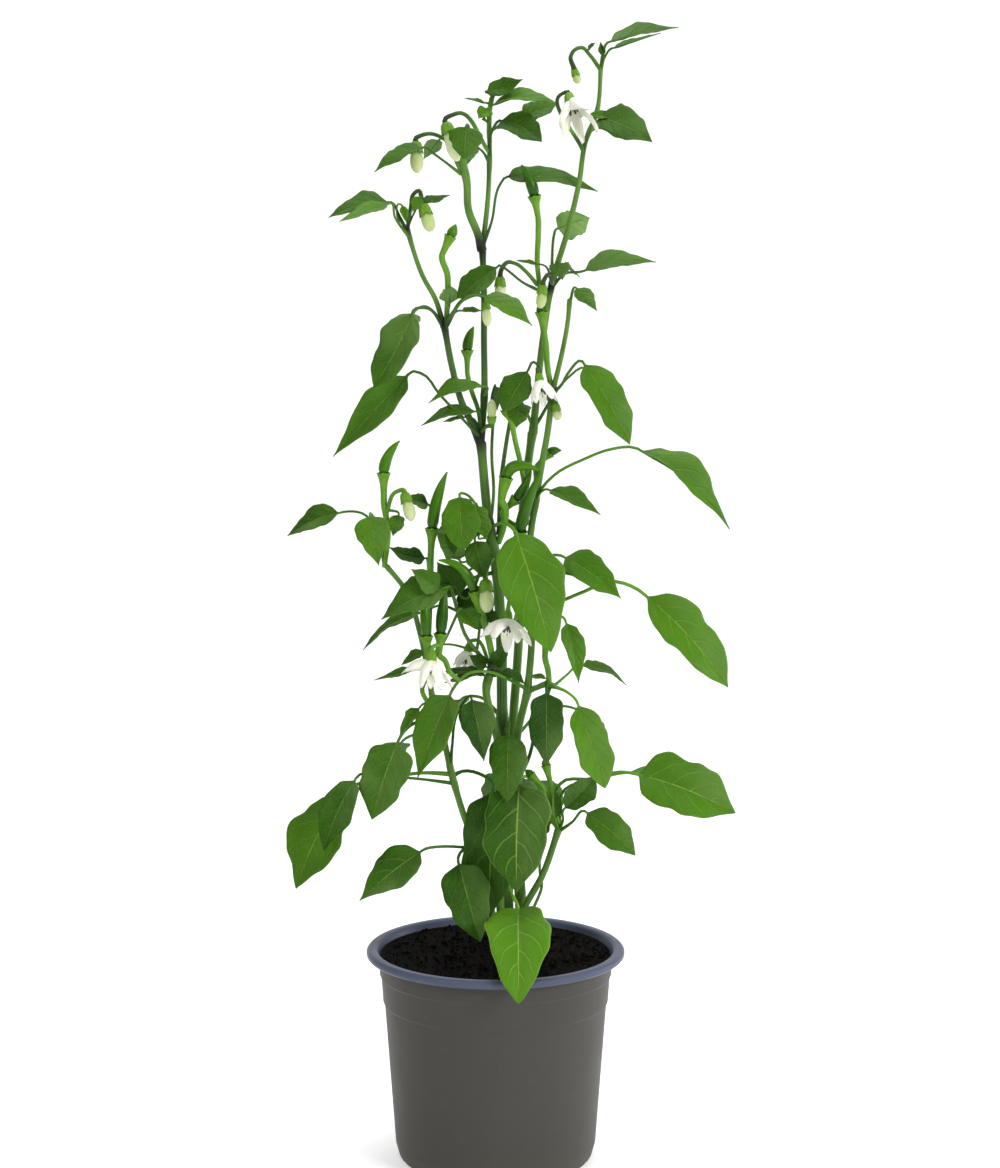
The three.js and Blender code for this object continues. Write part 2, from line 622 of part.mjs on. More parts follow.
const right = {
  name: "right_shoot",
  stems: [
    {
      radius: [2.7, 2.1],
      path: [
        [15, 13, STEM_FOOT_Z], [13, 12, 141], [11, 13, 181], [9, 13, 217], [12, 15, 272],
        [14, 15, 304], [15, 13, 358], [17, 12, 375], [20, 11, 397],
      ],
    },
    {
      radius: [2, 1],
      path: [
        [20, 11, 394], [23, 9, 425], [25, 8, 443], [30, 6, 474], [38, 4, 501],
        [44, 2, 527], [47, 1, 547], [53, 1, 563], [55, 1, 587],
      ],
    },
  ],
  leaves: [
    {
      stalk: [[55, 1, 585], [56, 1, 593]], base: [58, 1, 599],
      tip: [96, 12, 608], face: [0, -0.45, 0.9], width: 15, bow: 2,
    },
    {
      stalk: [[55, 1, 584], [57, -2, 591]], base: [60, -4, 595],
      tip: [85, -16, 602], face: [0, -0.15, 1], width: 10,
    },
    {
      stalk: [[53, 1, 562], [50, -3, 561]], base: [48, -5, 559], tip: [81, -22, 545],
      face: [0.15, -0.75, 0.65], width: 19, bow: 3,
    },
    {
      stalk: [[30, 6, 473], [32, 4, 481]], base: [33, 2, 485],
      tip: [35, -10, 476], face: [0, -0.8, 0.6], width: 11,
    },
    {
      stalk: [[30, 6, 472], [37, 5, 479]], base: [45, 4, 480],
      tip: [85, 12, 485], face: [0, -0.6, 0.8], width: 15, bow: 4,
    },
    {
      stalk: [[30, 7, 477], [30, 10, 488], [31, 13, 497]], base: [32, 16, 503], tip: [52, 36, 500],
      face: [0, 0.6, 0.8], width: 17, bow: 2,
    },
    {
      stalk: [[23, 9, 424], [20, 2, 429]], base: [17, -5, 430], tip: [2, -18, 407],
      face: [-0.2, -0.9, 0.4], width: 17,
    },
    {
      stalk: [[20, 11, 397], [16, 3, 407]], base: [13, -4, 412],
      tip: [11, -16, 399], face: [0, -0.7, 0.7], width: 13,
    },
    {
      stalk: [[14, 13, 344], [17, 22, 349]], base: [19, 29, 346],
      tip: [27, 54, 308], face: [0.2, 0.8, 0.6], width: 26, bow: 4,
    },
    {
      stalk: [[10, 13, 199], [14, 22, 205]], base: [19, 30, 203],
      tip: [30, 56, 168], face: [0.3, 0.8, 0.5], width: 26, bow: 4,
    },
  ],
  pods: [
    {
      stalk: [[30, 6, 473], [24, 4, 485], [22, 3, 506]],
      mouth: [20, 3, 513], middle: [17, 2, 526], tip: [12, 2, 536], width: 7,
    },
    {
      stalk: [[15, 13, 348], [11, 4, 354]],
      mouth: [9, 2, 358], middle: [12, 1, 367], tip: [17, 0, 374], width: 5,
    },
    {
      stalk: [[14, 14, 330], [12, 4, 334]],
      mouth: [13, -1, 343], middle: [15, -6, 356], tip: [24, -10, 376], width: 6.5,
    },
  ],
  buds: [
    {
      stalk: [[55, 1, 584], [51, -1, 595], [44, -4, 596]],
      mouth: [42, -5, 586], tip: [42, -6, 576], width: 4.8,
    },
    {
      stalk: [[27, 7, 462], [17, -2, 481], [6, -5, 485]],
      mouth: [3, -6, 478], tip: [3, -6, 468], width: 5.5,
    },
    {
      stalk: [[30, 6, 473], [27, -2, 479], [24, -6, 476]],
      mouth: [23, -8, 471], tip: [23, -9, 461], width: 5.5,
    },
  ],
  flowers: [
    {
      stalk: [[46, 1, 542], [41, 0, 551], [36, -7, 563], [35, -13, 572], [37, -16, 577]],
      mouth: [39, -18, 567], tip: [41, -22, 554], width: 5.5, petal: 21, flare: 22,
    },
  ],
};

const inner = {
  name: "inner_shoot",
  stems: [
    {
      radius: [2.4, 1.9],
      path: [
        [19, -2, STEM_FOOT_Z], [15, -2, 136], [12, -2, 181], [11, -1, 219], [12, 0, 234],
        [15, -1, 248], [18, -2, 260],
      ],
    },
    {
      radius: [1.9, 1.6],
      path: [
        [17, -2, 256], [19, -2, 277], [19, 0, 343], [21, 0, 356], [24, -1, 375],
        [28, -4, 399], [30, -6, 419],
      ],
    },
    { radius: [1.4, 1.1], path: [[30, -6, 417], [34, -6, 433], [38, -5, 454], [39, -5, 466]] },
    { radius: [1.5, 1.3], path: [[17, -2, 257], [22, -3, 259], [27, -4, 261], [32, -5, 260]] },
  ],
  leaves: [
    {
      stalk: [[30, -6, 417], [34, -8, 420], [38, -9, 427]], base: [46, -11, 433], tip: [70, -24, 391],
      face: [0.3, -0.85, 0.4], width: 20, bow: 3,
    },
    {
      stalk: [[21, 0, 359], [26, -4, 368], [32, -6, 374], [47, -8, 382], [60, -9, 387]],
      base: [74, -9, 388], tip: [123, -20, 347], face: [0.3, -0.55, 0.8], width: 25, fold: 25, bow: 5,
    },
    {
      stalk: [[21, 0, 357], [24, -4, 364]], base: [27, -7, 366],
      tip: [55, -22, 354], face: [0.1, -0.5, 0.85], width: 14, bow: 2,
    },
    {
      stalk: [[19, 0, 326], [26, -7, 330]], base: [35, -11, 331],
      tip: [66, -24, 310], face: [0.2, -0.8, 0.55], width: 21, bow: 3,
    },
    {
      stalk: [[19, -1, 300], [28, -4, 303], [46, -8, 311], [62, -9, 317]], base: [79, -11, 311],
      tip: [123, -20, 263], face: [0.35, -0.8, 0.5], width: 31, bow: 5, fold: 10,
    },
    {
      stalk: [[19, -1, 289], [27, -2, 296]], base: [37, -13, 297],
      tip: [44, -24, 265], face: [0.5, -0.8, 0.3], width: 14, bow: 2,
    },
    {
      stalk: [[31, -5, 260], [38, 1, 265]], base: [45, 5, 270],
      tip: [71, 18, 257], face: [0.1, -0.4, 0.9], width: 12, bow: 3,
    },
    {
      stalk: [[27, -4, 261], [27, -9, 263]], base: [27, -13, 260],
      tip: [27, -24, 223], face: [0, -1, 0.25], width: 19, bow: 2,
    },
    {
      stalk: [[31, -5, 260], [38, -11, 258]], base: [43, -15, 253],
      tip: [59, -27, 211], face: [0.15, -0.95, 0.3], width: 21, bow: 3,
    },
    {
      stalk: [[29, -4, 260], [25, -6, 248], [21, -10, 235], [18, -16, 224]], base: [13, -24, 213],
      tip: [11, -46, 157], face: [0, -0.95, 0.35], width: 34, bow: 5, fold: 8,
    },
    {
      stalk: [[17, -2, 258], [8, -10, 264], [-3, -13, 269], [-14, -16, 269]], base: [-23, -18, 260],
      tip: [-41, -34, 216], face: [-0.2, -0.9, 0.35], width: 23, fold: 22, bow: 3,
    },
    {
      stalk: [[39, -5, 464]], base: [42, -3, 472],
      tip: [53, -14, 460], face: [0.3, -0.8, 0.5], width: 10,
    },
  ],
  pods: [
    {
      stalk: [[30, -6, 417], [28, -4, 436], [26, -2, 450]],
      mouth: [26, -2, 458], tip: [25, -2, 466], width: 5.5,
    },
    {
      stalk: [[24, -1, 374], [28, 2, 379]],
      mouth: [31, 3, 382], middle: [34, 3, 386], tip: [36, 3, 392], width: 5,
    },
    {
      stalk: [[29, -4, 259], [28, -7, 269], [27, -9, 281]],
      mouth: [27, -10, 289], tip: [28, -11, 306], width: 6.5, thick: 1.6,
    },
    {
      stalk: [[-19, -17, 265], [-24, -16, 270]],
      mouth: [-28, -15, 281], middle: [-29, -15, 292], tip: [-28, -12, 308], width: 6,
    },
  ],
  buds: [
    { stalk: [[29, -5, 408], [33, -8, 412]], mouth: [33, -9, 408], tip: [33, -10, 402], width: 5 },
  ],
  flowers: [
    {
      stalk: [[29, -5, 411], [21, -7, 425], [20, -11, 432]],
      mouth: [23, -17, 425], tip: [25, -19, 415], width: 5, petal: 11, flare: 34,
    },
  ],
};

const centre = {
  name: "centre_shoot",
  stems: [
    {
      radius: [2.3, 2],
      path: [
        [4, -3.2, STEM_FOOT_Z], [2.5, -4, 144], [1, -4, 196], [1, -3, 231], [-3, -3, 246],
        [-5, -3, 258], [-1, -3, 272],
      ],
    },
    {
      radius: [1, 0.9],
      path: [[-1, -3, 270], [-10, -6, 279], [-16, -7, 288], [-20, -8, 301], [-24, -9, 315]],
    },
  ],
  leaves: [
    {
      stalk: [[-24, -9, 314]], base: [-25, -15, 315],
      tip: [-60, -25, 299], face: [-0.3, -0.7, 0.65], width: 22, bow: 3,
    },
    {
      stalk: [[-20, -8, 301], [-29, 0, 303]], base: [-38, 7, 299],
      tip: [-72, 18, 276], face: [-0.2, -0.4, 0.9], width: 13, bow: 4,
    },
    {
      stalk: [[-20, -8, 300]], base: [-18, -13, 303],
      tip: [-9, -24, 294], face: [0.2, -0.7, 0.6], width: 13,
    },
    { stalk: [[-4, -3, 262]], base: [-8, 3, 266], tip: [-28, 13, 259], face: [0, -0.4, 0.9], width: 10 },
  ],
  pods: [
    {
      stalk: [[-1, -3, 271], [-6, -11, 294]],
      mouth: [-10, -16, 311], middle: [-14, -18, 328], tip: [-31, -18, 329], width: 5.5, thick: 1.3,
    },
  ],
  buds: [],
  flowers: [
    {
      stalk: [[-1, -3, 270], [4, -6, 278], [11, -8, 290], [11, -13, 305], [8, -20, 310]],
      mouth: [6, -24, 302], tip: [5, -26, 292], width: 5, petal: 17, flare: 44,
    },
    {
      stalk: [[-2, -3, 268], [-6, 3, 278], [-11, 8, 283]],
      mouth: [-15, 10, 277], tip: [-17, 9, 266], width: 4.5, petal: 11, flare: 34,
    },
  ],
};

const left = {
  name: "left_shoot",
  stems: [
    {
      radius: [2, 1.3],
      path: [
        [3, -9.5, STEM_FOOT_Z], [1, -9.5, 122], [-4, -10.5, 148], [-10, -12, 173], [-17, -14, 192], [-22, -14, 209],
        [-28, -13, 234], [-32, -11, 247], [-36, -8, 269], [-40, -6, 288], [-48, -5, 312], [-59, -5, 326],
      ],
    },
  ],
  leaves: [
    {
      stalk: [[-29, -13, 238], [-37, -18, 244], [-46, -22, 241]], base: [-52, -25, 234],
      tip: [-65, -36, 195], face: [-0.2, -0.95, 0.35], width: 27, bow: 3, fold: 10,
    },
    {
      stalk: [[-33, -10, 253]], base: [-40, -16, 251],
      tip: [-51, -22, 236], face: [-0.6, -0.7, 0.4], width: 9, fold: 25,
    },
    {
      stalk: [[-23, -14, 214], [-38, -15, 215], [-56, -17, 213], [-72, -18, 210]], base: [-80, -18, 206],
      tip: [-106, -28, 156], face: [-0.35, -0.85, 0.4], width: 29, bow: 5, fold: 10,
    },
    {
      stalk: [[-22, -14, 209], [-38, -18, 212], [-58, -20, 214]], base: [-73, -30, 216],
      tip: [-90, -43, 181], face: [-0.3, -0.85, 0.4], width: 19, bow: 4,
    },
    {
      stalk: [[-23, -14, 213], [-18, -11, 215], [-8, -9, 213]], base: [-2, -11, 208],
      tip: [-2, -30, 144], face: [-0.2, -0.95, 0.3], width: 29, bow: 3, fold: 8,
    },
    {
      stalk: [[-24, -14, 217], [-23, -16, 230], [-20, -17, 248]], base: [-16, -18, 256],
      tip: [-6, -30, 227], face: [0, -0.95, 0.3], width: 18, bow: 2,
    },
    {
      stalk: [[-10, -12, 173], [-18, -17, 175], [-29, -20, 176]], base: [-38, -22, 175],
      tip: [-72, -34, 151], face: [-0.2, -0.85, 0.5], width: 22, bow: 3,
    },
    {
      stalk: [[-10, -12, 172], [-17, -18, 174]], base: [-20, -24, 170],
      tip: [-8, -43, 131], face: [-0.1, -0.9, 0.4], width: 25, bow: 3,
    },
    {
      stalk: [[-59, -5, 325], [-62, -6, 341], [-70, -8, 353]], base: [-81, -9, 354], tip: [-111, 2, 340],
      face: [-0.1, -0.7, 0.7], width: 15, bow: 3,
    },
    {
      stalk: [[-60, -5, 331], [-62, -12, 348]], base: [-66, -17, 354], tip: [-61, -30, 328],
      face: [0, -0.95, 0.3], width: 18, bow: 2,
    },
    {
      stalk: [[-58, -7, 355]], base: [-51, -9, 353],
      tip: [-54, -17, 342], face: [0, -0.9, 0.4], width: 9,
    },
  ],
  pods: [
    {
      stalk: [[-59, -5, 324], [-57, -6, 341], [-59, -7, 364]],
      mouth: [-59, -7, 372], middle: [-60, -7, 383], tip: [-50, -7, 392], width: 5.6,
    },
    {
      stalk: [[-40, -6, 287], [-36, -6, 307], [-35, -7, 331]],
      mouth: [-35, -7, 340], middle: [-34, -7, 359], tip: [-26, -6, 375], width: 6,
    },
    {
      stalk: [[-33, -11, 248], [-39, -14, 260], [-38, -16, 269]],
      mouth: [-37, -17, 279], middle: [-38, -17, 294], tip: [-38, -14, 307], width: 6,
    },
  ],
  buds: [
    {
      stalk: [[-58, -7, 352], [-56, -8, 360], [-52, -11, 365]],
      mouth: [-47, -13, 361], tip: [-44, -15, 350], width: 7,
    },
  ],
  flowers: [
    {
      stalk: [[-36, -8, 268], [-33, -19, 276], [-31, -23, 285]],
      mouth: [-35, -29, 279], tip: [-35, -31, 268], width: 5.5, petal: 18, flare: 30,
    },
  ],
};

const low = {
  name: "low_shoot",
  stems: [
    {
      radius: [2, 1.7],
      path: [[8, -12, STEM_FOOT_Z], [10, -12, 123], [16, -11, 141], [25, -12, 158], [34, -14, 185]],
    },
  ],
  leaves: [
    {
      stalk: [[34, -14, 184], [31, -12, 200], [35, -12, 209], [52, -17, 212]], base: [74, -20, 216],
      tip: [127, -28, 197], face: [0.25, -0.85, 0.5], width: 33, bow: 5, fold: 10,
    },
    {
      stalk: [[34, -14, 183], [41, -18, 189]], base: [48, -22, 196],
      tip: [74, -32, 175], face: [0.2, -0.85, 0.5], width: 18, bow: 3,
    },
    {
      stalk: [[34, -14, 184], [36, -18, 190]], base: [37, -21, 195],
      tip: [54, -26, 216], face: [0.4, -0.9, 0.2], width: 14,
    },
  ],
  pods: [
    {
      stalk: [[34, -14, 184], [30, -15, 203], [27, -16, 216]],
      mouth: [27, -16, 219], tip: [26, -16, 223], width: 4.5, thick: 1.4,
    },
    {
      stalk: [[33, -14, 184], [27, -16, 202], [21, -17, 211]],
      mouth: [19, -17, 214], tip: [16, -17, 217], width: 4.5, thick: 1.4,
    },
  ],
  buds: [],
  flowers: [],
};

const SHOOTS = [trunk, right, inner, centre, left, low];

// ---------------------------------------------------------------- materials and assembly

const finish = (color, roughness) => new THREE.MeshStandardMaterial({ color, roughness, metalness: 0 });
const LEAF = finish(0x3f7a24, 0.5);
const POD = finish(0x3c7a18, 0.25);
const PETAL = finish(0xe6e6d2, 0.6);
const BUD = finish(0xc6d09a, 0.55);
const ANTHER = finish(0x4a4658, 0.7);
const PLASTIC = finish(0x57544e, 0.45);
const SOIL = finish(0x140d09, 0.95);

const plant = new THREE.Group();
const holder = new THREE.Group();
const part = new THREE.Group();
part.add(holder, plant);

function addPiece(group, name, geometry, material) {
  const mesh = new THREE.Mesh(geometry, material);
  mesh.name = name;
  group.add(mesh);
}

addPiece(holder, "pot", toGeometry(makePot()), PLASTIC);
addPiece(holder, "soil", toGeometry(makeSoil(SHOOTS.map((shoot) => shoot.stems[0]))), SOIL);

const counts = { pod: 0, bud: 0, flower: 0 };
for (const shoot of SHOOTS) {
  const pods = shoot.pods.map((pod) => ({ thick: POD_STALK_RADIUS, ...pod }));
  const hanging = [...pods, ...shoot.buds, ...shoot.flowers];
  const green = fuse([
    ...shoot.stems.map(({ path, radius }) => rod(path.map(point), taper(path.length, radius), 6)),
    ...shoot.leaves.map(leaf),
    ...hanging.map(calyx),
  ]);
  addPiece(plant, shoot.name, toGeometry(green), LEAF);
  for (const pod of shoot.pods) {
    counts.pod += 1;
    addPiece(plant, `pod_${counts.pod}`, fruit(pod, POD_PROFILE), POD);
  }
  for (const bud of shoot.buds) {
    counts.bud += 1;
    addPiece(plant, `bud_${counts.bud}`, fruit(bud, BUD_PROFILE), BUD);
  }
  for (const flower of shoot.flowers) {
    counts.flower += 1;
    addPiece(plant, `flower_${counts.flower}_corolla`, corolla(flower), PETAL);
    addPiece(plant, `flower_${counts.flower}_stamens`, toGeometry(stamens(flower)), ANTHER);
  }
}

export default part;
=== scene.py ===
# A chilli pepper plant in a nursery pot: six leafy stems in dark soil, with white nodding
# flowers, pale buds and young green pods. Metres, +Z up, the pot's foot in the middle of z = 0.
# Tables of the plant are in millimetres, as the part's own source has them.

import math
import random

import bpy
import numpy as np
from mathutils import Matrix, Quaternion, Vector, noise


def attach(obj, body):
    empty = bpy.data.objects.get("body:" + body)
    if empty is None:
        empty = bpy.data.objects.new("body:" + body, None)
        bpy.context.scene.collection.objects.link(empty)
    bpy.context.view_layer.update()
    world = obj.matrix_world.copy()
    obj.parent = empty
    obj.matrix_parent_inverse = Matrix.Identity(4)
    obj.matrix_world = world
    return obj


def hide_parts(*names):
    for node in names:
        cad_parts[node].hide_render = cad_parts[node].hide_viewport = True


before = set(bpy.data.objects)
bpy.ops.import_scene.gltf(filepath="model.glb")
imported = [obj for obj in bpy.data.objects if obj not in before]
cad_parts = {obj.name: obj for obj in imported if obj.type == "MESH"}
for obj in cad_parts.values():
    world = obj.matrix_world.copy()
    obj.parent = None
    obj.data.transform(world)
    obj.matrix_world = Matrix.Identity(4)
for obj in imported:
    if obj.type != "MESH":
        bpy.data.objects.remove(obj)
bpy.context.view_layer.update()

# ---------------------------------------------------------------- pot
# A 14 cm nursery pot of grey polypropylene, moulded in one piece: a tapered wall, a collar in
# two low steps so that empty pots stack, and a stout rounded rim. The foot is notched and the
# floor drilled, so that water runs out.

MM = 0.001
POT_HEIGHT = 116
RIM_RADIUS = 70
RIM_FOOT = 111.4
FOOT_RADIUS = 52.8
FOOT_HEIGHT = 3
POT_PROFILE = [  # radius and height, from the pad under the floor, up the wall and back inside
    (16, 0), (18, FOOT_HEIGHT), (46.8, FOOT_HEIGHT), (46.8, 0), (51.8, 0), (FOOT_RADIUS, 1.5),
    (54.6, 8), (60.3, 86), (61.1, 86.8), (62.1, 101), (62.9, 101.8), (63.2, RIM_FOOT),
    (68.6, RIM_FOOT), (RIM_RADIUS, 112.6), (RIM_RADIUS, 114.6), (68.6, POT_HEIGHT),
    (65.4, POT_HEIGHT), (64, 115.2), (61, 108), (52.6, 4.6),
]  # fmt: skip
POT_CORNERS = 120
POT_EDGE = 0.5
NOTCHES = 18
NOTCH_CUTTER = (24, 5, 3.6)  # its lower half stands below the foot
DRAINS = 6
DRAIN_RADIUS = 4
DRAIN_RING = 34
DRAIN_CUTTER = 18
DIRT_HEIGHT = 22  # the dirt on the wall thins out up to here


def let_go():
    """Nothing stays selected, so that the next operator acts on its own piece alone."""
    bpy.ops.object.select_all(action="DESELECT")


def name_piece(piece, name):
    piece.name = piece.data.name = name
    return piece


def drawn_up(name, rings, corners):
    """A disc drawn up from ring to ring, each a radius and a height, and closed at both ends."""
    let_go()
    radius, height = rings[0]
    bpy.ops.mesh.primitive_circle_add(
        vertices=corners, radius=radius * MM, fill_type="NGON", location=(0, 0, height * MM)
    )
    piece = name_piece(bpy.context.object, name)
    bpy.ops.object.mode_set(mode="EDIT")
    for wider, higher in rings[1:]:
        rise = (0, 0, (higher - height) * MM)
        bpy.ops.mesh.extrude_region_move(TRANSFORM_OT_translate={"value": rise})
        grow = wider / radius
        bpy.ops.transform.resize(value=(grow, grow, 1), center_override=(0, 0, higher * MM))
        radius, height = wider, higher
    bpy.ops.mesh.select_all(action="SELECT")
    bpy.ops.mesh.normals_make_consistent(inside=False)
    bpy.ops.object.mode_set(mode="OBJECT")
    return piece


def apply(piece, kind, **settings):
    """Adds a modifier with these settings and applies it."""
    let_go()
    piece.select_set(True)
    bpy.context.view_layer.objects.active = piece
    modifier = piece.modifiers.new(kind.title(), kind)
    for name, value in settings.items():
        setattr(modifier, name, value)
    bpy.ops.object.modifier_apply(modifier=modifier.name)


def join(pieces, name):
    """Joins the pieces into the first of them."""
    let_go()
    for piece in pieces:
        piece.select_set(True)
    bpy.context.view_layer.objects.active = pieces[0]
    if len(pieces) > 1:
        bpy.ops.object.join()
    return name_piece(bpy.context.object, name)


def round_the_pot(count, radius):
    """Evenly spaced places on a ring at the pot's foot, with the turn of each."""
    for turn in (2 * math.pi * i / count for i in range(count)):
        yield (radius * MM * math.cos(turn), radius * MM * math.sin(turn), 0), turn


pot = drawn_up("nursery_pot", POT_PROFILE, POT_CORNERS)
apply(
    pot, "BEVEL", width=POT_EDGE * MM, segments=3,
    limit_method="ANGLE", angle_limit=math.radians(8),
)  # fmt: skip

# Notches in the foot and holes in the floor, cut with one joined cutter.
notches, drains = [], []
for place, turn in round_the_pot(NOTCHES, FOOT_RADIUS):
    bpy.ops.mesh.primitive_cube_add(
        size=1, location=place, rotation=(0, 0, turn), scale=[side * MM for side in NOTCH_CUTTER]
    )
    notches.append(bpy.context.object)
for place, _ in round_the_pot(DRAINS, DRAIN_RING):
    bpy.ops.mesh.primitive_cylinder_add(
        vertices=32, radius=DRAIN_RADIUS * MM, depth=DRAIN_CUTTER * MM, location=place
    )
    drains.append(bpy.context.object)
cutter = join([*drains, *notches], "cutter")
apply(pot, "BOOLEAN", object=cutter, operation="DIFFERENCE", solver="EXACT")
bpy.data.objects.remove(cutter, do_unlink=True)
let_go()
pot.select_set(True)
bpy.context.view_layer.objects.active = pot
bpy.ops.object.shade_smooth_by_angle(angle=math.radians(35))


def paint(red, green, blue):
    """A colour as a paint chart gives it, 0 to 255, as the colour that a material takes."""
    shares = [value / 255 for value in (red, green, blue)]
    light = [s / 12.92 if s <= 0.04045 else ((s + 0.055) / 1.055) ** 2.4 for s in shares]
    return (*light, 1)


class Wire:
    """A value on its way through a material. Sums on it add the nodes that work them out."""

    def __init__(self, finish, socket):
        self.finish = finish
        self.socket = socket

    def math(self, operation, *others):
        values = dict(enumerate((self, *others)))
        return self.finish.node("Math", {"operation": operation}, values)

    def __add__(self, other):
        return self.math("ADD", other)

    def __sub__(self, other):
        return self.math("SUBTRACT", other)

    def __rsub__(self, other):
        return self.finish.node("Math", {"operation": "SUBTRACT"}, {0: other, 1: self})

    def __mul__(self, other):
        return self.math("MULTIPLY", other)

    def __pow__(self, other):
        return self.math("POWER", other)

    def __rpow__(self, other):
        return self.finish.node("Math", {"operation": "POWER"}, {0: other, 1: self})

    __radd__ = __add__
    __rmul__ = __mul__


class Finish:
    """One material, with the method that adds any node and those that feed its surface."""

    def __init__(self, name):
        self.material = bpy.data.materials.new(name)
        self.material.use_nodes = True
        self.tree = self.material.node_tree
        self.surface = self.tree.nodes["Principled BSDF"]

    def node(self, kind, settings=(), sockets=(), out=None):
        """Adds a node of this kind with its settings and sockets, and gives its named outlet."""
        made = self.tree.nodes.new("ShaderNode" + kind)
        for name, value in dict(settings).items():
            setattr(made, name, value)
        self.fill(made, sockets)
        outlets = (s for s in made.outputs if s.enabled and out in (None, s.name))
        return Wire(self, next(outlets))

    def fill(self, made, sockets):
        """Sets a node's sockets, by name or number, to plain values or to links."""
        for name, value in dict(sockets).items():
            named = (s for s in made.inputs if s.enabled and s.name == name)
            socket = made.inputs[name] if isinstance(name, int) else next(named)
            if isinstance(value, Wire):
                self.tree.links.new(value.socket, socket)
            else:
                socket.default_value = value

    def spot(self):
        """Where on the piece a point lies, in metres."""
        return self.node("TexCoord", out="Object")

    def stretched(self, x, y, z):
        return self.node("Mapping", {}, {"Vector": self.spot(), "Scale": (x, y, z)})

    def part(self, vector, axis):
        return self.node("SeparateXYZ", {}, {"Vector": vector}, out=axis)

    def clouds(self, scale, detail=3, rough=0.5, at=None):
        """Soft uneven patches, 0 to 1."""
        sockets = {"Vector": at or self.spot(), "Scale": scale}
        sockets |= {"Detail": detail, "Roughness": rough}
        return self.node("TexNoise", {}, sockets, out="Fac")

    def cells(self, scale, at=None, feature="DISTANCE_TO_EDGE"):
        sockets = {"Vector": at or self.spot(), "Scale": scale}
        return self.node("TexVoronoi", {"feature": feature}, sockets, out="Distance")

    def step(self, value, low, high, start=0, end=1):
        """A soft step from start to end as the value goes from low to high."""
        sockets = {"Value": value, "From Min": low, "From Max": high}
        sockets |= {"To Min": start, "To Max": end}
        return self.node("MapRange", {"interpolation_type": "SMOOTHSTEP"}, sockets)

    def mix(self, share, first, second):
        """A colour between two others."""
        return self.node("Mix", {"data_type": "RGBA"}, {"Factor": share, "A": first, "B": second})

    def attribute(self, name):
        return self.node("Attribute", {"attribute_name": name}, out="Fac")

    def skin(self):
        """Where a point lies on the piece's own skin: round or across it, and along it, 0 to 1."""
        return self.node("UVMap", {"uv_map": "UVMap"})

    def streaks(self, across, along, detail=3, rough=0.6):
        """Streaks from end to end of a grown piece, 0 to 1."""
        drawn_out = self.node("Mapping", {}, {"Vector": self.skin(), "Scale": (across, along, 1)})
        return self.clouds(1, detail, rough, at=drawn_out)

    def relief(self, height, depth):
        """Raises the surface by height times depth, in metres."""
        sockets = {"Height": height, "Distance": depth, "Strength": 1}
        self.fill(self.surface, {"Normal": self.node("Bump", {}, sockets)})

    def feed(self, **sockets):
        self.fill(self.surface, {name.replace("_", " "): value for name, value in sockets.items()})


plastic = Finish("pot_plastic")
height = plastic.part(plastic.spot(), "Z")
rim_share = plastic.step(height, (RIM_FOOT - POT_EDGE) * MM, RIM_FOOT * MM)
marbling = plastic.clouds(14, at=plastic.stretched(1, 1, 0.35))
wall_colour = plastic.mix(marbling, paint(61, 59, 55), paint(72, 70, 65))
rim_colour = plastic.mix(marbling, paint(66, 72, 90), paint(84, 90, 110))
whole = plastic.mix(rim_share, wall_colour, rim_colour)
dust = plastic.step(plastic.clouds(90, 6, 0.7), 0.56, 0.8) * 0.22
foot_dirt = plastic.step(height, DIRT_HEIGHT * MM, 0, 0, 0.35) * plastic.clouds(60, 5)
plastic.feed(
    Base_Color=plastic.mix(dust + foot_dirt, whole, paint(92, 87, 77)),
    Roughness=plastic.step(rim_share, 0, 1, 0.42, 0.3) + plastic.clouds(45, 4) * 0.16,
    Specular_IOR_Level=0.14,
)
grain = plastic.clouds(1500, 2)
draw_marks = plastic.clouds(160, 3, at=plastic.stretched(1, 1, 0.05))
plastic.relief(grain * 0.5 + draw_marks, 0.06 * MM)
pot.data.materials.append(plastic.material)
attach(pot, "root")
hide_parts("pot")

# ---------------------------------------------------------------- soil
# Peaty potting soil, filled almost to the rim and still damp: nearly black, crumbly, with dry
# fibres and chips of bark on it.

SOIL_TOP = 112.8
SOIL_REACH = 61.8
SOIL_CORNERS = 180
TOP_RINGS = 44
SOIL_PROFILE = [  # radius and height, from the pot's floor up its wall, then in over the top
    (52.2, 5.2), (56, 50), (60.5, 107.4), (61.2, 110),
    *((SOIL_REACH * (1 - i / TOP_RINGS), SOIL_TOP) for i in range(TOP_RINGS)),
]  # fmt: skip
LITTER_MOUND = 1.4
CRUMBS, CRUMB_KINDS = 1700, 6
CRUMB_SIZE = 0.35
CRUMB_REACH = 60.6
FIBRES, FIBRE_KINDS = 240, 5
CHIPS, CHIP_KINDS = 70, 4
LITTER_REACH = 56
chance = random.Random(14)

# The heap: a plug that fills the pot, flat on top, where the litter covers it.
heap = drawn_up("heap", SOIL_PROFILE, SOIL_CORNERS)


def litter_height(x, y):
    """Height at which the litter lies at a place on the soil, a low lumpy mound."""
    mound = LITTER_MOUND * (1 - math.hypot(x, y) / SOIL_REACH)
    spot = Vector((x, y, 7))
    lumps = noise.noise(spot * 0.09) * 1.1 + noise.noise(spot * 0.28) * 0.9
    return SOIL_TOP + mound + lumps + noise.noise(spot * 0.8) * 0.5


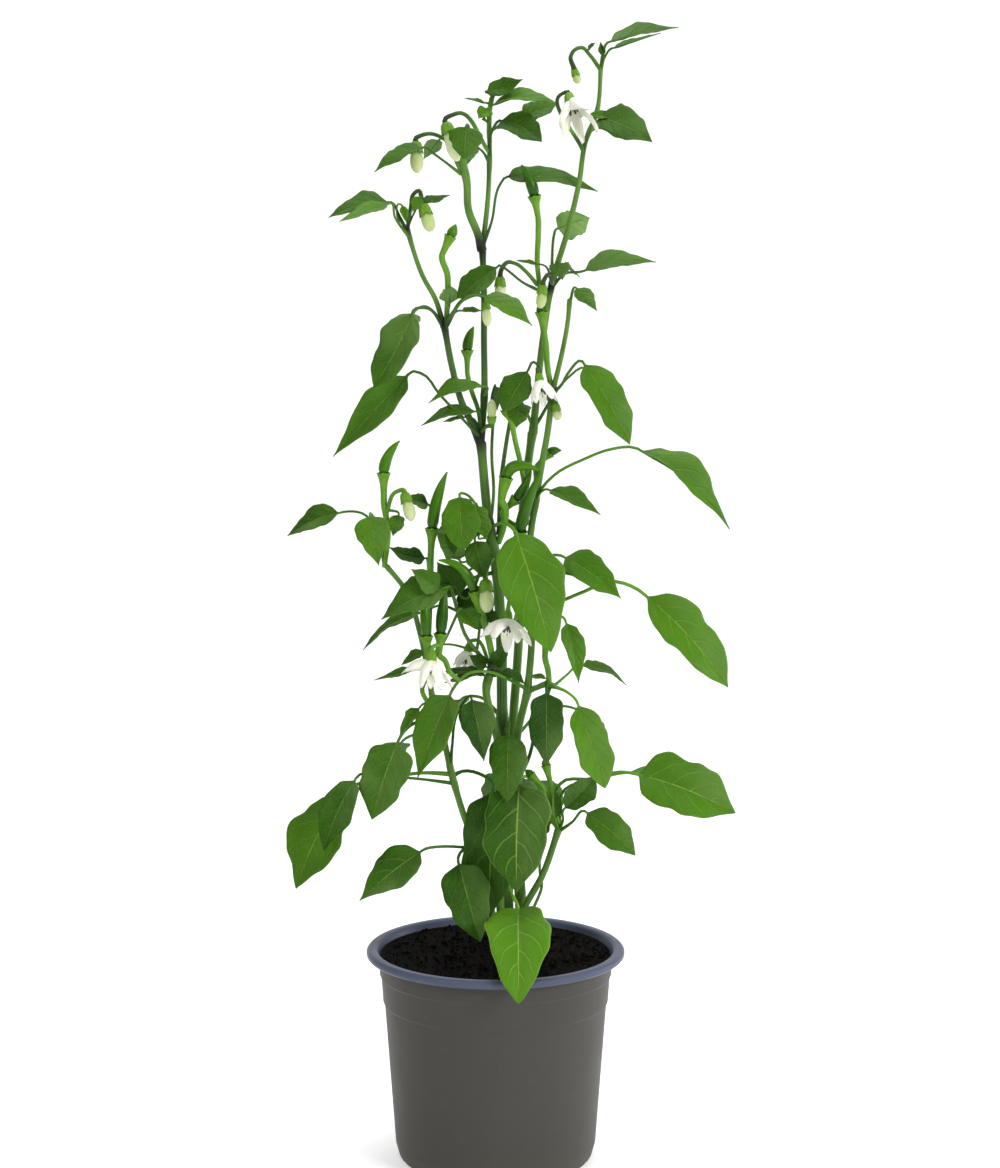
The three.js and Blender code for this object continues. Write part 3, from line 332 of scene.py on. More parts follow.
def scatter(name, pieces, places):
    """One mesh of many copies of a few small pieces. places gives each copy's matrix and tone."""
    corners, faces, tones = [], [], []
    for i, (matrix, tone) in enumerate(places):
        mesh = pieces[i % len(pieces)].data
        first = len(corners)
        corners += [matrix @ v.co for v in mesh.vertices]
        faces += [[first + k for k in face.vertices] for face in mesh.polygons]
        tones += [tone] * len(mesh.vertices)
    mesh = bpy.data.meshes.new(name)
    mesh.from_pydata(corners, [], faces)
    mesh.attributes.new("tone", "FLOAT", "POINT").data.foreach_set("value", tones)
    result = bpy.data.objects.new(name, mesh)
    bpy.context.collection.objects.link(result)
    for piece in pieces:
        bpy.data.objects.remove(piece, do_unlink=True)
    return result


def on_soil(reach, lift):
    """Moves to a random spot of the litter within reach of the middle, in metres."""
    radius, turn = reach * math.sqrt(chance.random()), chance.uniform(0, 2 * math.pi)
    x, y = radius * math.cos(turn), radius * math.sin(turn)
    return Matrix.Translation(Vector((x, y, litter_height(x, y) + lift)) * MM)


def any_turn():
    turn = Quaternion([chance.gauss(0, 1) for _ in range(4)])
    return turn.normalized().to_matrix().to_4x4()


def lying(steepest, axis):
    """A random small tilt about one axis and any turn on the ground."""
    tilt = Matrix.Rotation(chance.uniform(-steepest, steepest), 4, axis)
    return Matrix.Rotation(chance.uniform(0, 2 * math.pi), 4, "Z") @ tilt


crumbs = []
for i in range(CRUMB_KINDS):
    bpy.ops.mesh.primitive_ico_sphere_add(subdivisions=2, radius=1, location=(0, 0, 0))
    crumb = bpy.context.object
    for vertex in crumb.data.vertices:
        vertex.co *= 1 + 0.55 * noise.noise(vertex.co * 1.4 + Vector((i * 9, 0, 0)))
    crumbs.append(crumb)
places = []
for _ in range(CRUMBS):
    size = MM * CRUMB_SIZE * (1 + 2.6 * chance.random() ** 4)
    deep, high = size * chance.uniform(0.6, 1), size * chance.uniform(0.5, 0.9)
    shape = Matrix.Diagonal((size, deep, high, 1))
    spot = on_soil(CRUMB_REACH, 0.1)
    places.append((spot @ any_turn() @ shape, chance.random()))
crumb_layer = scatter("crumbs", crumbs, places)

fibres = []
for i in range(FIBRE_KINDS):
    bpy.ops.mesh.primitive_cylinder_add(
        vertices=5, radius=0.08, depth=1, location=(0, 0, 0), rotation=(0, math.pi / 2, 0)
    )
    bpy.ops.object.transform_apply(location=False, rotation=True, scale=False)
    fibre = bpy.context.object
    bpy.ops.object.mode_set(mode="EDIT")
    bpy.ops.mesh.select_all(action="DESELECT")
    bpy.ops.object.mode_set(mode="OBJECT")
    for edge in fibre.data.edges:
        ends = [fibre.data.vertices[k].co for k in edge.vertices]
        edge.select = abs(ends[0].x - ends[1].x) > 0.5
    bpy.ops.object.mode_set(mode="EDIT")
    bpy.ops.mesh.subdivide(number_cuts=7)
    bpy.ops.object.mode_set(mode="OBJECT")
    for vertex in fibre.data.vertices:
        sideways = noise.noise(Vector((vertex.co.x * 2.2, i, 0)))
        upwards = noise.noise(Vector((vertex.co.x * 2, 0, i + 5))) * 0.4
        vertex.co += Vector((0, sideways, upwards)) * 0.45
    fibres.append(fibre)
places = []
for _ in range(FIBRES):
    size = chance.uniform(2.2, 8) * MM
    thin = chance.uniform(0.6, 1.3) * 1.1 * MM
    shape = Matrix.Diagonal((size, thin * 1.4 + size * 0.25, thin, 1))
    turned = lying(0.25, "Y")
    places.append((on_soil(LITTER_REACH, 0.35) @ turned @ shape, chance.random()))
fibre_layer = scatter("fibres", fibres, places)

chips = []
for i in range(CHIP_KINDS):
    bpy.ops.mesh.primitive_cube_add(size=1, location=(0, 0, 0), scale=(1, 0.55, 0.22))
    chip = bpy.context.object
    bpy.ops.object.transform_apply(location=False, rotation=False, scale=True)
    apply(chip, "BEVEL", width=0.07, segments=1)
    for vertex in chip.data.vertices:
        vertex.co *= 1 + 0.5 * noise.noise(vertex.co * 1.7 + Vector((0, i * 5, 0)))
    chips.append(chip)
places = []
for _ in range(CHIPS):
    shape = Matrix.Scale(chance.uniform(1.6, 4.2) * MM, 4)
    turned = lying(0.5, "X")
    places.append((on_soil(LITTER_REACH, 0.2) @ turned @ shape, chance.random()))
chip_layer = scatter("chips", chips, places)


def lay_peat(piece, name, dark, light, rough=0.7):
    """Damp peat on a piece: two browns by patches and by each grain's own tone."""
    made = Finish(name)
    tone = made.attribute("tone") * 0.6 + made.clouds(420, 6, 0.7) * 0.6
    made.feed(
        Base_Color=made.mix(made.step(tone, 0.2, 0.95), dark, light),
        Roughness=rough + made.clouds(700, 3) * 0.3,
        Specular_IOR_Level=0.06,
    )
    made.relief(made.clouds(1100, 8, 0.75) + made.cells(900) * 0.4, 0.9 * MM)
    piece.data.materials.append(made.material)


lay_peat(heap, "damp_peat", paint(3, 2, 1), paint(15, 11, 8))
lay_peat(crumb_layer, "peat_crumbs", paint(3, 2, 1), paint(21, 15, 11))
lay_peat(fibre_layer, "peat_fibres", paint(10, 7, 4), paint(44, 32, 22), rough=0.65)
lay_peat(chip_layer, "bark_chips", paint(6, 4, 3), paint(32, 23, 16))
soil = join([heap, crumb_layer, fibre_layer, chip_layer], "potting_soil")
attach(soil, "root")
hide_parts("soil")

# ---------------------------------------------------------------- trunk shoot
# The oldest stem of the plant, green and slightly ribbed, with swollen, nearly black knots where
# it forks. Leaves, pods and buds grow from the knots on thin stalks of their own.

LEAF_FOLD = 14
LEAF_WAVE = 0.055
LEAF_CUT = (0.62, 1.15)  # a smaller first number rounds the base, a smaller second the tip
LEAF_NECK = 0.04  # share of the length at the base where the blade is no wider than its stalk
ROUND_BASE = 0.45  # a leaf cut rounder than this at the base has soft shoulders
SHOULDERS = 0.13
LEAF_TIP = 0.3  # share of the length over which the point is drawn in
MARGIN_WAVES = [(0.075, 11, 3), (0.035, 27, 5)]  # share of the half width, how many, and shift
CRIMP_DEPTH = 0.012  # as shares of the width, like the two below
QUILT_DEPTH = 0.026
SAG_DEPTH = 0.03
BLADE_THICKNESS = 0.4
BLADE_ROWS = 1.3  # above 1, the rows of a blade lie closer near its base
SIDE_VEINS = 5
VEIN_SLANT = 0.2
VEIN_BEND = 0.12
# The midrib: place along the blade, then its thickness and how deep it lies, in thicknesses.
RIB_PLACES, RIB_WIDTHS, RIB_DEPTHS = np.array([
    (0, 1, 0), (0.12, 0.72, 0.62), (0.3, 0.55, 0.5), (0.5, 0.4, 0.38), (0.7, 0.26, 0.26),
    (0.88, 0.1, 0.14),
]).T  # fmt: skip
RIB_SINK = 0.15
STALK_THICKNESS = ([5, 30], [0.5, 0.95])  # widths of leaves, and radii of their stalks
LEAF_STALK_STAIN = ([330, 400], [0, 0.4])  # heights on the plant, and how dark stalks are there
FLOWER_STALK_STAIN = ([330, 440], [0, 0.85])
LEAF_STALK_FADE = 6
FLOWER_STALK_FADE = 18
JOINT_REACH = 4


def smooth_line(points, widths, count):
    """Evenly spaced stations on a smooth line through the points, and the width at each."""
    points = np.array(points, float)
    knots = np.concatenate([[0], np.cumsum(np.linalg.norm(np.diff(points, axis=0), axis=1))])
    slopes = np.gradient(points, knots, axis=0)

    def at(spots):
        i = np.clip(np.searchsorted(knots, spots) - 1, 0, len(knots) - 2)
        span = (knots[i + 1] - knots[i])[:, None]
        f = (spots - knots[i])[:, None] / span
        return (
            points[i] * (1 + 2 * f) * (1 - f) ** 2
            + slopes[i] * span * f * (1 - f) ** 2
            + points[i + 1] * f * f * (3 - 2 * f)
            + slopes[i + 1] * span * f * f * (f - 1)
        )

    fine = np.linspace(0, knots[-1], 16 * len(points))
    length = np.concatenate([[0], np.cumsum(np.linalg.norm(np.diff(at(fine), axis=0), axis=1))])
    spots = np.interp(np.linspace(0, length[-1], count), length, fine)
    return at(spots), np.interp(spots, knots, widths)


def unit(vectors):
    return vectors / np.linalg.norm(vectors, axis=-1, keepdims=True)


class Blank:
    """A plain closed or flat mesh that is modelled once. Each piece is a copy drawn to its shape."""

    def __init__(self, kind, round_count, long_count):
        let_go()
        if kind == "skin":
            bpy.ops.mesh.primitive_uv_sphere_add(segments=round_count, ring_count=long_count)
        else:
            bpy.ops.mesh.primitive_grid_add(
                x_subdivisions=round_count, y_subdivisions=long_count, size=2
            )
        bpy.ops.object.shade_smooth()
        model = bpy.context.object
        self.mesh = mesh = model.data
        bpy.data.objects.remove(model)
        spots = np.empty(3 * len(mesh.vertices))
        mesh.vertices.foreach_get("co", spots)
        x, y, z = spots.reshape(-1, 3).T
        self.stations = long_count + 1
        if kind == "skin":
            self.turn = np.arctan2(y, x)
            self.along = np.arcsin(np.clip(z, -1, 1)) / math.pi + 0.5
            self.row = np.rint(self.along * long_count).astype(int)
        else:
            self.across = x
            self.along = ((y + 1) / 2) ** BLADE_ROWS
            uv = np.empty(2 * len(mesh.loops))
            mesh.uv_layers[0].uv.foreach_get("vector", uv)
            uv[1::2] **= BLADE_ROWS
            mesh.uv_layers[0].uv.foreach_set("vector", uv)

    def drawn(self, spots, finishes, **marks):
        """A copy with its corners at these spots, in millimetres, and marks for its materials."""
        copy = bpy.data.objects.new("piece", self.mesh.copy())
        copy.data.vertices.foreach_set("co", (spots * MM).ravel())
        for finish in finishes:
            copy.data.materials.append(finish)
        for name, values in marks.items():
            layer = copy.data.attributes.new(name, "FLOAT", "POINT")
            layer.data.foreach_set("value", np.broadcast_to(values, len(self.along)).astype(float))
        bpy.context.collection.objects.link(copy)
        copy.data.update()
        return copy


def square_frames(middles):
    """For each station on a line, two directions square to it that don't twist along it."""
    ways = unit(np.gradient(middles, axis=0))
    first = Vector(ways[0])
    helper = Vector((1, 0, 0)) if abs(first.z) > 0.9 else Vector((0, 0, 1))
    side = helper.cross(first).normalized()
    sides = [np.array(side)]
    for before, after in zip(ways, ways[1:]):
        side = Vector(before).rotation_difference(Vector(after)) @ side
        sides.append(np.array(side))
    sides = np.array(sides)
    return sides, np.cross(ways, sides)


def drawn_rod(blank, points, widths, finishes, flutes=None, **marks):
    """A round skin along a smooth line. widths are radii at the points, closed at both ends;
    flutes gives each corner's share of the radius from its turn and its place along."""
    middles, radii = smooth_line(points, widths, blank.stations - 2)
    sides, overs = square_frames(middles)
    spread = np.clip(blank.row - 1, 0, len(middles) - 1)
    radius = radii[spread] * ((blank.row > 0) & (blank.row < blank.stations - 1))
    if flutes is not None:
        radius = radius * flutes(blank.turn, spread / (len(middles) - 1))
    radius = radius[:, None]
    turn = blank.turn[:, None]
    spots = middles[spread] + radius * (sides[spread] * np.cos(turn) + overs[spread] * np.sin(turn))
    marks = {name: m(middles)[spread] if callable(m) else m for name, m in marks.items()}
    return blank.drawn(spots, finishes, **marks)


def outline(along, cut):
    """Half width of a leaf along its midrib, as a share of the widest; 0 is its base."""
    rounding, sharpness = cut
    widest = rounding / (rounding + sharpness)
    blade = np.clip((along - LEAF_NECK) / (1 - LEAF_NECK), 0, 1)
    body = (blade / widest) ** rounding * ((1 - blade) / (1 - widest)) ** sharpness
    if rounding > ROUND_BASE:
        shoulder = np.clip(blade / SHOULDERS, 0, 1)
        body = body * (shoulder * shoulder * (3 - 2 * shoulder)) ** 0.6
    point = np.clip((blade - (1 - LEAF_TIP)) / LEAF_TIP, 0, 1)
    return body * (1 - 0.42 * point**1.4)


def leaf_skin(leaf, across, along):
    """Corners of a leaf's blade and the direction of its upper side at each of them."""
    base, tip, face, width, fold, bow, sway, cut, waves = leaf
    base, tip, face = (np.array(p, float) for p in (base, tip, face))
    chord = tip - base
    way = unit(chord)
    up = unit(face - way * (face @ way))
    side = np.cross(way, up)
    arch = np.sin(math.pi * along)[:, None]
    slope = math.pi * np.cos(math.pi * along)[:, None]
    middle = base + chord * along[:, None] + (up * bow + side * sway) * arch
    tangent = unit(chord + (up * bow + side * sway) * slope)
    normal = unit(np.cross(side, tangent))
    right = np.cross(tangent, normal)
    share = outline(along, cut)
    phase = base[0] + base[2]
    hand = phase + np.where(across < 0, 0, 2.4)
    uneven = sum(deep * np.sin(many * along + shift * hand) for deep, many, shift in MARGIN_WAVES)
    half = width / 2 * share * (1 + uneven * np.abs(across) ** 0.5)
    half = np.maximum(half, np.interp(along, [0, 1], [0.5, 0.1]))
    from_rib = np.abs(across)
    raised = half * math.sin(math.radians(fold)) * (1.3 * from_rib - 0.3 * from_rib**2)
    ripple = np.sin(3 * math.pi * along + phase + np.where(across < 0, 0, 2))
    crimp = np.sin(13 * math.pi * along + 3 * phase + 2 * across)
    wave = width * share * (waves * ripple * from_rib**1.6 + CRIMP_DEPTH * crimp * from_rib**3)
    vein_line = along - VEIN_SLANT * from_rib - VEIN_BEND * from_rib**2
    between_veins = np.sin(math.pi * SIDE_VEINS * vein_line) ** 2
    quilt = QUILT_DEPTH * width * share * between_veins * from_rib * (1 - from_rib) * 4
    sag = np.sin(7 * along + phase + 1.5 * across) * np.sin(2.2 * across + 4 * along + phase)
    quilt = quilt + SAG_DEPTH * width * share * sag * from_rib
    sideways = half * math.cos(math.radians(fold)) * across
    spots = middle + right * sideways[:, None] + normal * (raised + wave + quilt)[:, None]
    return spots, normal


def vein_lines(made, sides, spot):
    """How near a point of a leaf is to its midrib and to its side veins, 0 to 1."""
    from_rib = (sides * 2 - 1).math("ABSOLUTE")
    offset = made.step(sides, 0.49, 0.51, 0, 0.4)
    bent = spot - from_rib * VEIN_SLANT - (from_rib**2) * VEIN_BEND
    wobble = made.clouds(70, 2) * 0.5
    place = bent * SIDE_VEINS + offset + wobble
    gap = ((place + 0.5).math("FRACT") - 0.5).math("ABSOLUTE")
    midrib = made.step(from_rib, 0.008, 0.045, 1, 0)
    fade = made.step(from_rib, 0.55, 1, 1, 0.15) * made.step(spot, 0.8, 0.97, 1, 0)
    side_veins = made.step(gap, 0.01, 0.075, 1, 0) * fade
    return midrib, side_veins


def leaf_finish(name, dark, light, pale, vein, rough, vein_height):
    """One side of a leaf: two greens in patches, a painted highlight, and veins with a net between."""
    made = Finish(name)
    sides, spot = made.part(made.skin(), "X"), made.part(made.skin(), "Y")
    midrib, side_veins = vein_lines(made, sides, spot)
    net = made.step(made.cells(620), 0, 0.16, 1, 0)
    fine_net = made.step(made.cells(1500), 0, 0.2, 1, 0)
    patches = made.clouds(42, 4, 0.6) * 0.6 + made.attribute("tone") * 0.9 - 0.25
    blade = made.mix(patches, dark, light)
    # Painted highlight: pale patches, more on one half of each blade, as if that half faced the lamps.
    half = made.step(sides, 0.44, 0.56, 0.09, -0.09)
    painted_sheen = made.step(made.clouds(26, 2) + half, 0.42, 0.78) * 0.42
    blade = made.mix(painted_sheen, blade, pale)
    margin = made.step((sides * 2 - 1).math("ABSOLUTE"), 0.93, 1)
    bold = made.attribute("bold")
    veins = midrib * (0.28 + bold * 0.4) + side_veins * (0.05 + bold * 0.26) + net * 0.05
    veins = veins + margin * (0.04 + bold * 0.3)
    made.feed(
        Base_Color=made.mix(veins.math("MINIMUM", 1), blade, vein),
        Roughness=rough + made.clouds(130, 4) * 0.2 + net * 0.05,
        Specular_IOR_Level=0.11,
    )
    relief = (midrib + side_veins * 0.7 + net * 0.12 + fine_net * 0.05) * vein_height
    made.relief(relief + made.clouds(900, 3) * 0.08, 0.35 * MM)
    return made.material


leaf_upper = leaf_finish(
    "leaf_upper",
    dark=paint(22, 62, 0),
    light=paint(76, 126, 10),
    # pale is the colour of the painted highlight on the upper side
    pale=paint(98, 130, 66),
    vein=paint(150, 184, 84),
    rough=0.36,
    vein_height=-1,
)
leaf_under = leaf_finish(
    "leaf_underside",
    dark=paint(62, 100, 40),
    light=paint(98, 136, 66),
    # pale is the colour of the painted highlight on the underside
    pale=paint(132, 160, 100),
    vein=paint(150, 178, 104),
    rough=0.6,
    vein_height=1,
)


def stem_finish(name, dark, light, knot):
    """Green skin with lengthwise streaks, purple-black where the mark named dark says so."""
    made = Finish(name)
    streaks = made.streaks(22, 5)
    shade = streaks * 1.3 + made.clouds(60, 3) * 0.3 + made.attribute("tone") * 0.9 - 0.75
    green = made.mix(shade, dark, light)
    stain = made.attribute("dark") * (0.75 + made.clouds(260, 4) * 0.5)
    made.feed(
        Base_Color=made.mix(stain.math("MINIMUM", 1), green, knot),
        Roughness=0.4 + made.clouds(300, 3) * 0.18,
        Specular_IOR_Level=0.18,
    )
    made.relief(streaks + made.clouds(1400, 3) * 0.4, 0.16 * MM)
    return made.material


stem_skin = stem_finish("stem_skin", paint(40, 72, 34), paint(104, 148, 54), paint(18, 20, 18))
stalk_skin = stem_finish("stalk_skin", paint(38, 86, 12), paint(104, 158, 44), paint(24, 20, 24))
calyx_skin = stem_finish("calyx_skin", paint(60, 108, 12), paint(116, 162, 44), paint(26, 20, 26))


def fruit_finish(name, dark, light, rough, coat, fleck):
    """Taut waxy skin, shaded from base to tip, with faint lengthwise streaks."""
    made = Finish(name)
    streaks = made.streaks(16, 3)
    shade = made.part(made.skin(), "Y") * 0.5 + streaks * 0.55
    shade = shade + made.attribute("tone") * 0.7 - 0.45
    flecks = made.step(made.cells(1400, feature="F1"), 0.1, 0.35, fleck, 0)
    made.feed(
        Base_Color=made.mix(flecks, made.mix(shade, dark, light), paint(196, 206, 150)),
        Roughness=rough + made.clouds(400, 3) * 0.12,
        Coat_Weight=coat,
        Coat_Roughness=0.12,
        Specular_IOR_Level=0.18,
    )
    made.relief(streaks + made.clouds(500, 3) * 0.5, 0.12 * MM)
    return made.material


pod_skin = fruit_finish("pod_skin", paint(26, 74, 0), paint(72, 122, 0), 0.28, 0.08, 0.03)
bud_skin = fruit_finish("bud_skin", paint(158, 180, 102), paint(214, 220, 176), 0.45, 0, 0.08)

blade_blank = Blank("blade", 14, 34)
stalk_blank = Blank("skin", 8, 30)
stem_blank = Blank("skin", 15, 110)
fruit_blank = Blank("skin", 20, 34)

POD_SHAPE = [0.6, 0.94, 0.98, 1, 0.95, 0.86, 0.74, 0.58, 0.36, 0.12]  # widths, mouth to tip
BUD_SHAPE = [0.5, 0.74, 0.86, 0.95, 1, 1, 0.96, 0.86, 0.66, 0.3]
CUP_LENGTH = {"pod": 1.75, "bud": 0.62, "flower": 0.8}  # in widths of the pod or flower
CUP_WIDTH = {"pod": 1, "bud": 0.82, "flower": 0.82}
TOOTH = {"pod": 0.12, "bud": 0.24, "flower": 0.22}  # height of the cup's teeth, in the same
# Down the outside of a cup to its rim, and back up its inside: depths in lengths of the cup,
# radii in widths of the pod or flower, but where a pod's cup starts, in radii of its stalk.
POD_CUP_DEPTH = [0, 0.01, 0.16, 0.4, 0.66, 0.86, 0.99, 1.03, 0.99, 0.9, 0.8, 0.75]
POD_CUP_NECK = [0, 1, 1.04, 1.12, 1.4]
POD_CUP_RADIUS = [0.5, 0.58, 0.57, 0.52, 0.46, 0.3, 0]
BUD_CUP_DEPTH = [0, 0.03, 0.16, 0.36, 0.6, 0.9, 1.16, 1.22, 1.16, 0.8, 0.5, 0.4]
BUD_CUP_NECK = 1.6
BUD_CUP_RADIUS = [0.42, 0.5, 0.55, 0.58, 0.6, 0.58, 0.55, 0.46, 0.3, 0]
FRUITS = {  # name of the pieces, shape and skin
    "pod": ("chilli_pod", POD_SHAPE, pod_skin),
    "bud": ("flower_bud", BUD_SHAPE, bud_skin),
}


class Shoot:
    """One stem from the soil with all that grows on it, drawn up first and then grown."""

    counts = {"pod": 0, "bud": 0, "flower": 0}

    def __init__(self, name):
        self.name = name
        self.stems, self.leaves, self.hanging, self.knots = [], [], [], []

    def stem(self, path, foot, top, tone=0.6):
        """A stem along a path, with its radii at foot and top."""
        self.stems.append((path, foot, top, tone))

    def knot(self, place, reach):
        """A purple-black joint."""
        self.knots.append((place, reach))

    def leaf(
        self, stalk, base, tip, face, width,
        fold=LEAF_FOLD, bow=0, sway=0, cut=LEAF_CUT, waves=LEAF_WAVE, tone=None, bold=0.15,
    ):  # fmt: skip
        """A leaf that looks towards face. Its blade is folded by this many degrees, and bowed
        and swayed by this many millimetres. bold is how clearly its veins show."""
        blade = (base, tip, face, width, fold, bow, sway, cut, waves)
        self.leaves.append((stalk, blade, tone, bold))

    def pod(self, stalk, mouth, tip, width, middle=None, thick=1.35):
        """A pod that bends towards middle, on a stalk of radius thick."""
        self.hanging.append(("pod", stalk, mouth, tip, width, middle, thick, None))

    def bud(self, stalk, mouth, tip, width):
        self.hanging.append(("bud", stalk, mouth, tip, width, None, 1, None))

    def flower(self, stalk, mouth, tip, width, petal, flare, spin=0, lobes=(1,) * 5):
        """A flower whose petals of this length open by flare degrees, each lobe by its share."""
        petals = (petal, flare, spin, lobes)
        self.hanging.append(("flower", stalk, mouth, tip, width, None, 0.9, petals))

    def near(self, middles, places, reaches):
        """How near each station is to one of the places, 0 to 1."""
        if not places:
            return np.zeros(len(middles))
        gaps = np.linalg.norm(middles[:, None, :] - np.array(places, float)[None, :, :], axis=2)
        return np.exp(-((gaps / np.array(reaches)) ** 2)).max(axis=1)

    def near_joints(self, middles):
        """How near each station is to where a stalk or side stem leaves."""
        joints = [path[0] for path, *_ in self.stems[1:]]
        joints += [stalk[0] for stalk, *_ in self.leaves]
        return self.near(middles, joints, [JOINT_REACH] * len(joints))

    def darkness(self, middles):
        return self.near(middles, [place for place, _ in self.knots], [r for _, r in self.knots])

    def grow_stem(self, path, foot, top, tone):
        def ribs(turn, along):
            swell = np.interp(along, np.linspace(0, 1, len(joints)), joints)
            tip = np.where(along > 0.995, 0.55, 1)
            return (1 + 0.22 * swell) * (1 + 0.05 * np.cos(5 * turn + 4 * along)) * tip

        widths = np.linspace(foot, top, len(path))
        middles, _ = smooth_line(path, widths, stem_blank.stations - 2)
        joints = self.near_joints(middles)
        return drawn_rod(
            stem_blank, path, widths, [stem_skin], flutes=ribs, dark=self.darkness, tone=tone
        )

    def grow_leaf(self, stalk, leaf, tone, bold):
        tone = chance.uniform(0.1, 0.8) if tone is None else tone
        spots, _ = leaf_skin(leaf, blade_blank.across, blade_blank.along)
        blade = blade_blank.drawn(spots, [leaf_upper, leaf_under], tone=tone, bold=bold)
        rib, normal = leaf_skin(leaf, np.zeros(len(RIB_PLACES)), RIB_PLACES)
        _, _, _, width, *_ = leaf
        thick = np.interp(width, *STALK_THICKNESS)
        path = [*stalk, *(rib - normal * (thick * RIB_DEPTHS + RIB_SINK)[:, None])]
        widths = [thick * 1.5, *[thick] * (len(stalk) - 1), *(thick * RIB_WIDTHS)]
        start = np.array(stalk[0], float)
        upper = self.darkness(start[None, :])[0]
        whole = np.interp(start[2], *LEAF_STALK_STAIN)

        def dark(middles):
            gaps = np.linalg.norm(middles - start, axis=1)
            return whole + (upper - whole) * np.exp(-gaps / LEAF_STALK_FADE)

        return blade, drawn_rod(stalk_blank, path, widths, [stalk_skin], dark=dark, tone=tone)

    def grow_calyx(self, kind, stalk, mouth, tip, width, middle, thick):
        """A stalk that widens into a green cup with five teeth, which holds a pod or flower."""
        rim = np.array(mouth, float)
        back = unit(rim - np.array(middle or tip, float))
        length = CUP_LENGTH[kind] * width
        foot = rim + back * length
        bent = [p for p in stalk[1:] if (np.array(p, float) - foot) @ back > 0.4]
        if kind == "pod":
            stalk_line = [stalk[0], *bent, foot + back * 0.3, foot - back * 0.3 * width]
            widths = [*np.linspace(0.8, 1, len(bent) + 1) * thick, thick * 1.02, thick * 0.9]
        else:
            stalk_line = [stalk[0], *bent, foot + back * 0.15 * width, foot - back * 0.1 * width]
            widths = [thick * 1.15, *np.linspace(0.9, 1.1, len(bent) + 1)[1:] * thick]
            widths += [thick * 1.3, thick * 1.7]
        upper = 0 if kind == "pod" else np.interp(mouth[2], *FLOWER_STALK_STAIN)

        def dark(middles):
            gaps = np.linalg.norm(middles - foot, axis=1)
            stain = upper * np.exp(-((gaps / FLOWER_STALK_FADE) ** 2))
            return np.maximum(stain, 0.8 * self.darkness(middles))

        pedicel = drawn_rod(stalk_blank, stalk_line, widths, [stalk_skin], dark=dark, tone=0.75)
        if kind == "pod":
            depth = np.array(POD_CUP_DEPTH)
            radius = [share * (thick / width) for share in POD_CUP_NECK] + POD_CUP_RADIUS
        else:
            depth = np.array(BUD_CUP_DEPTH)
            radius = np.array([0, BUD_CUP_NECK * thick / width, *BUD_CUP_RADIUS])
        spots = np.linspace(0, 1, len(depth))
        along = fruit_blank.along
        down = np.interp(along, spots, depth) * length
        out = np.interp(along, spots, radius) * width * CUP_WIDTH[kind]
        teeth = np.abs(np.cos(2.5 * fruit_blank.turn)) ** 1.5
        near_rim = np.exp(-(((along - 0.6) / 0.14) ** 2))
        down = down + near_rim * teeth * TOOTH[kind] * width
        out = out * (1 + 0.05 * np.cos(5 * fruit_blank.turn)) + near_rim * teeth * 0.05 * width
        side, over = (f[0] for f in square_frames(np.array([foot, rim])))
        turn = fruit_blank.turn[:, None]
        ring = side * np.cos(turn) + over * np.sin(turn)
        cup = foot - back * down[:, None] + ring * out[:, None]
        stain = upper * np.exp(-along * 9)
        return pedicel, fruit_blank.drawn(cup, [calyx_skin], dark=stain, tone=0.5)

    def grow_fruit(self, kind, mouth, tip, width, middle):
        number = Shoot.counts[kind] + 1
        Shoot.counts[kind] = number
        start, end = np.array(mouth, float), np.array(tip, float)
        bend = np.array(middle, float) if middle else (start + end) / 2
        name, shape, skin = FRUITS[kind]
        share = np.linspace(0, 1, len(shape))[:, None]
        path = start * (1 - share) ** 2 + bend * 2 * share * (1 - share) + end * share**2

        def flutes(turn, along):
            if kind == "pod":
                return 1 + 0.03 * np.cos(3 * turn + 2 * along) + 0.03 * np.sin(9 * along + number)
            return 1 - 0.07 * (1 - np.abs(np.sin(2.5 * turn + 1.5 * along))) ** 3

        radii = np.array(shape) * width / 2
        fruit = drawn_rod(fruit_blank, path, radii, [skin], flutes=flutes, tone=chance.random())
        name_piece(fruit, f"{name}_{number}")
        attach(fruit, "root")
        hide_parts(f"{kind}_{number}")

    def grow(self):
        stems = join([self.grow_stem(*stem) for stem in self.stems], self.name + "_stems")
        blades, stalks = zip(*[self.grow_leaf(*leaf) for leaf in self.leaves])
        blade_piece = join(list(blades), "blades")
        thick = BLADE_THICKNESS * MM
        apply(blade_piece, "SOLIDIFY", thickness=thick, offset=-1, material_offset=1)
        leaves = join([blade_piece, *stalks], self.name + "_leaves")
        cups = []
        for kind, stalk, mouth, tip, width, middle, thick, petals in self.hanging:
            cups += self.grow_calyx(kind, stalk, mouth, tip, width, middle, thick)
            if kind == "flower":
                grow_flower(mouth, tip, *petals)
            else:
                self.grow_fruit(kind, mouth, tip, width, middle)
        calyces = join(cups, self.name + "_calyces")
        for piece in (stems, leaves, calyces):
            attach(piece, "root")
            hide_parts(self.name + "_shoot")


trunk = Shoot("trunk")
trunk.knot((-7, 2, 494), 8)
trunk.knot((-8, 3, 392), 8)
trunk.knot((-27, -8, 453), 8)
trunk.knot((-46, -12, 503), 5)
trunk.knot((-4, 5, 346), 5)
trunk.stem(
    [(7.5, 3.6, 88), (6, 4, 170), (4, 6, 229), (2, 7, 305), (0, 6, 327), (-3, 5, 343), (-8, 3, 392)], 3.3,
    2.3, tone=0.4,
)
trunk.stem([(-8, 3, 389), (-6, 4, 412), (-6, 5, 444), (-6, 4, 470), (-7, 2, 494)], 1.8, 1.6, tone=0.1)
trunk.stem([(-7, 2, 491), (-9, 0, 499), (-14, -3, 512), (-15, -5, 527), (-18, -7, 539)], 2.1, 1.9, tone=0.6)
trunk.stem([(-7, 2, 491), (-4, 6, 517), (-3, 9, 543), (-3, 10, 564), (-2, 9, 571)], 1.4, 1)
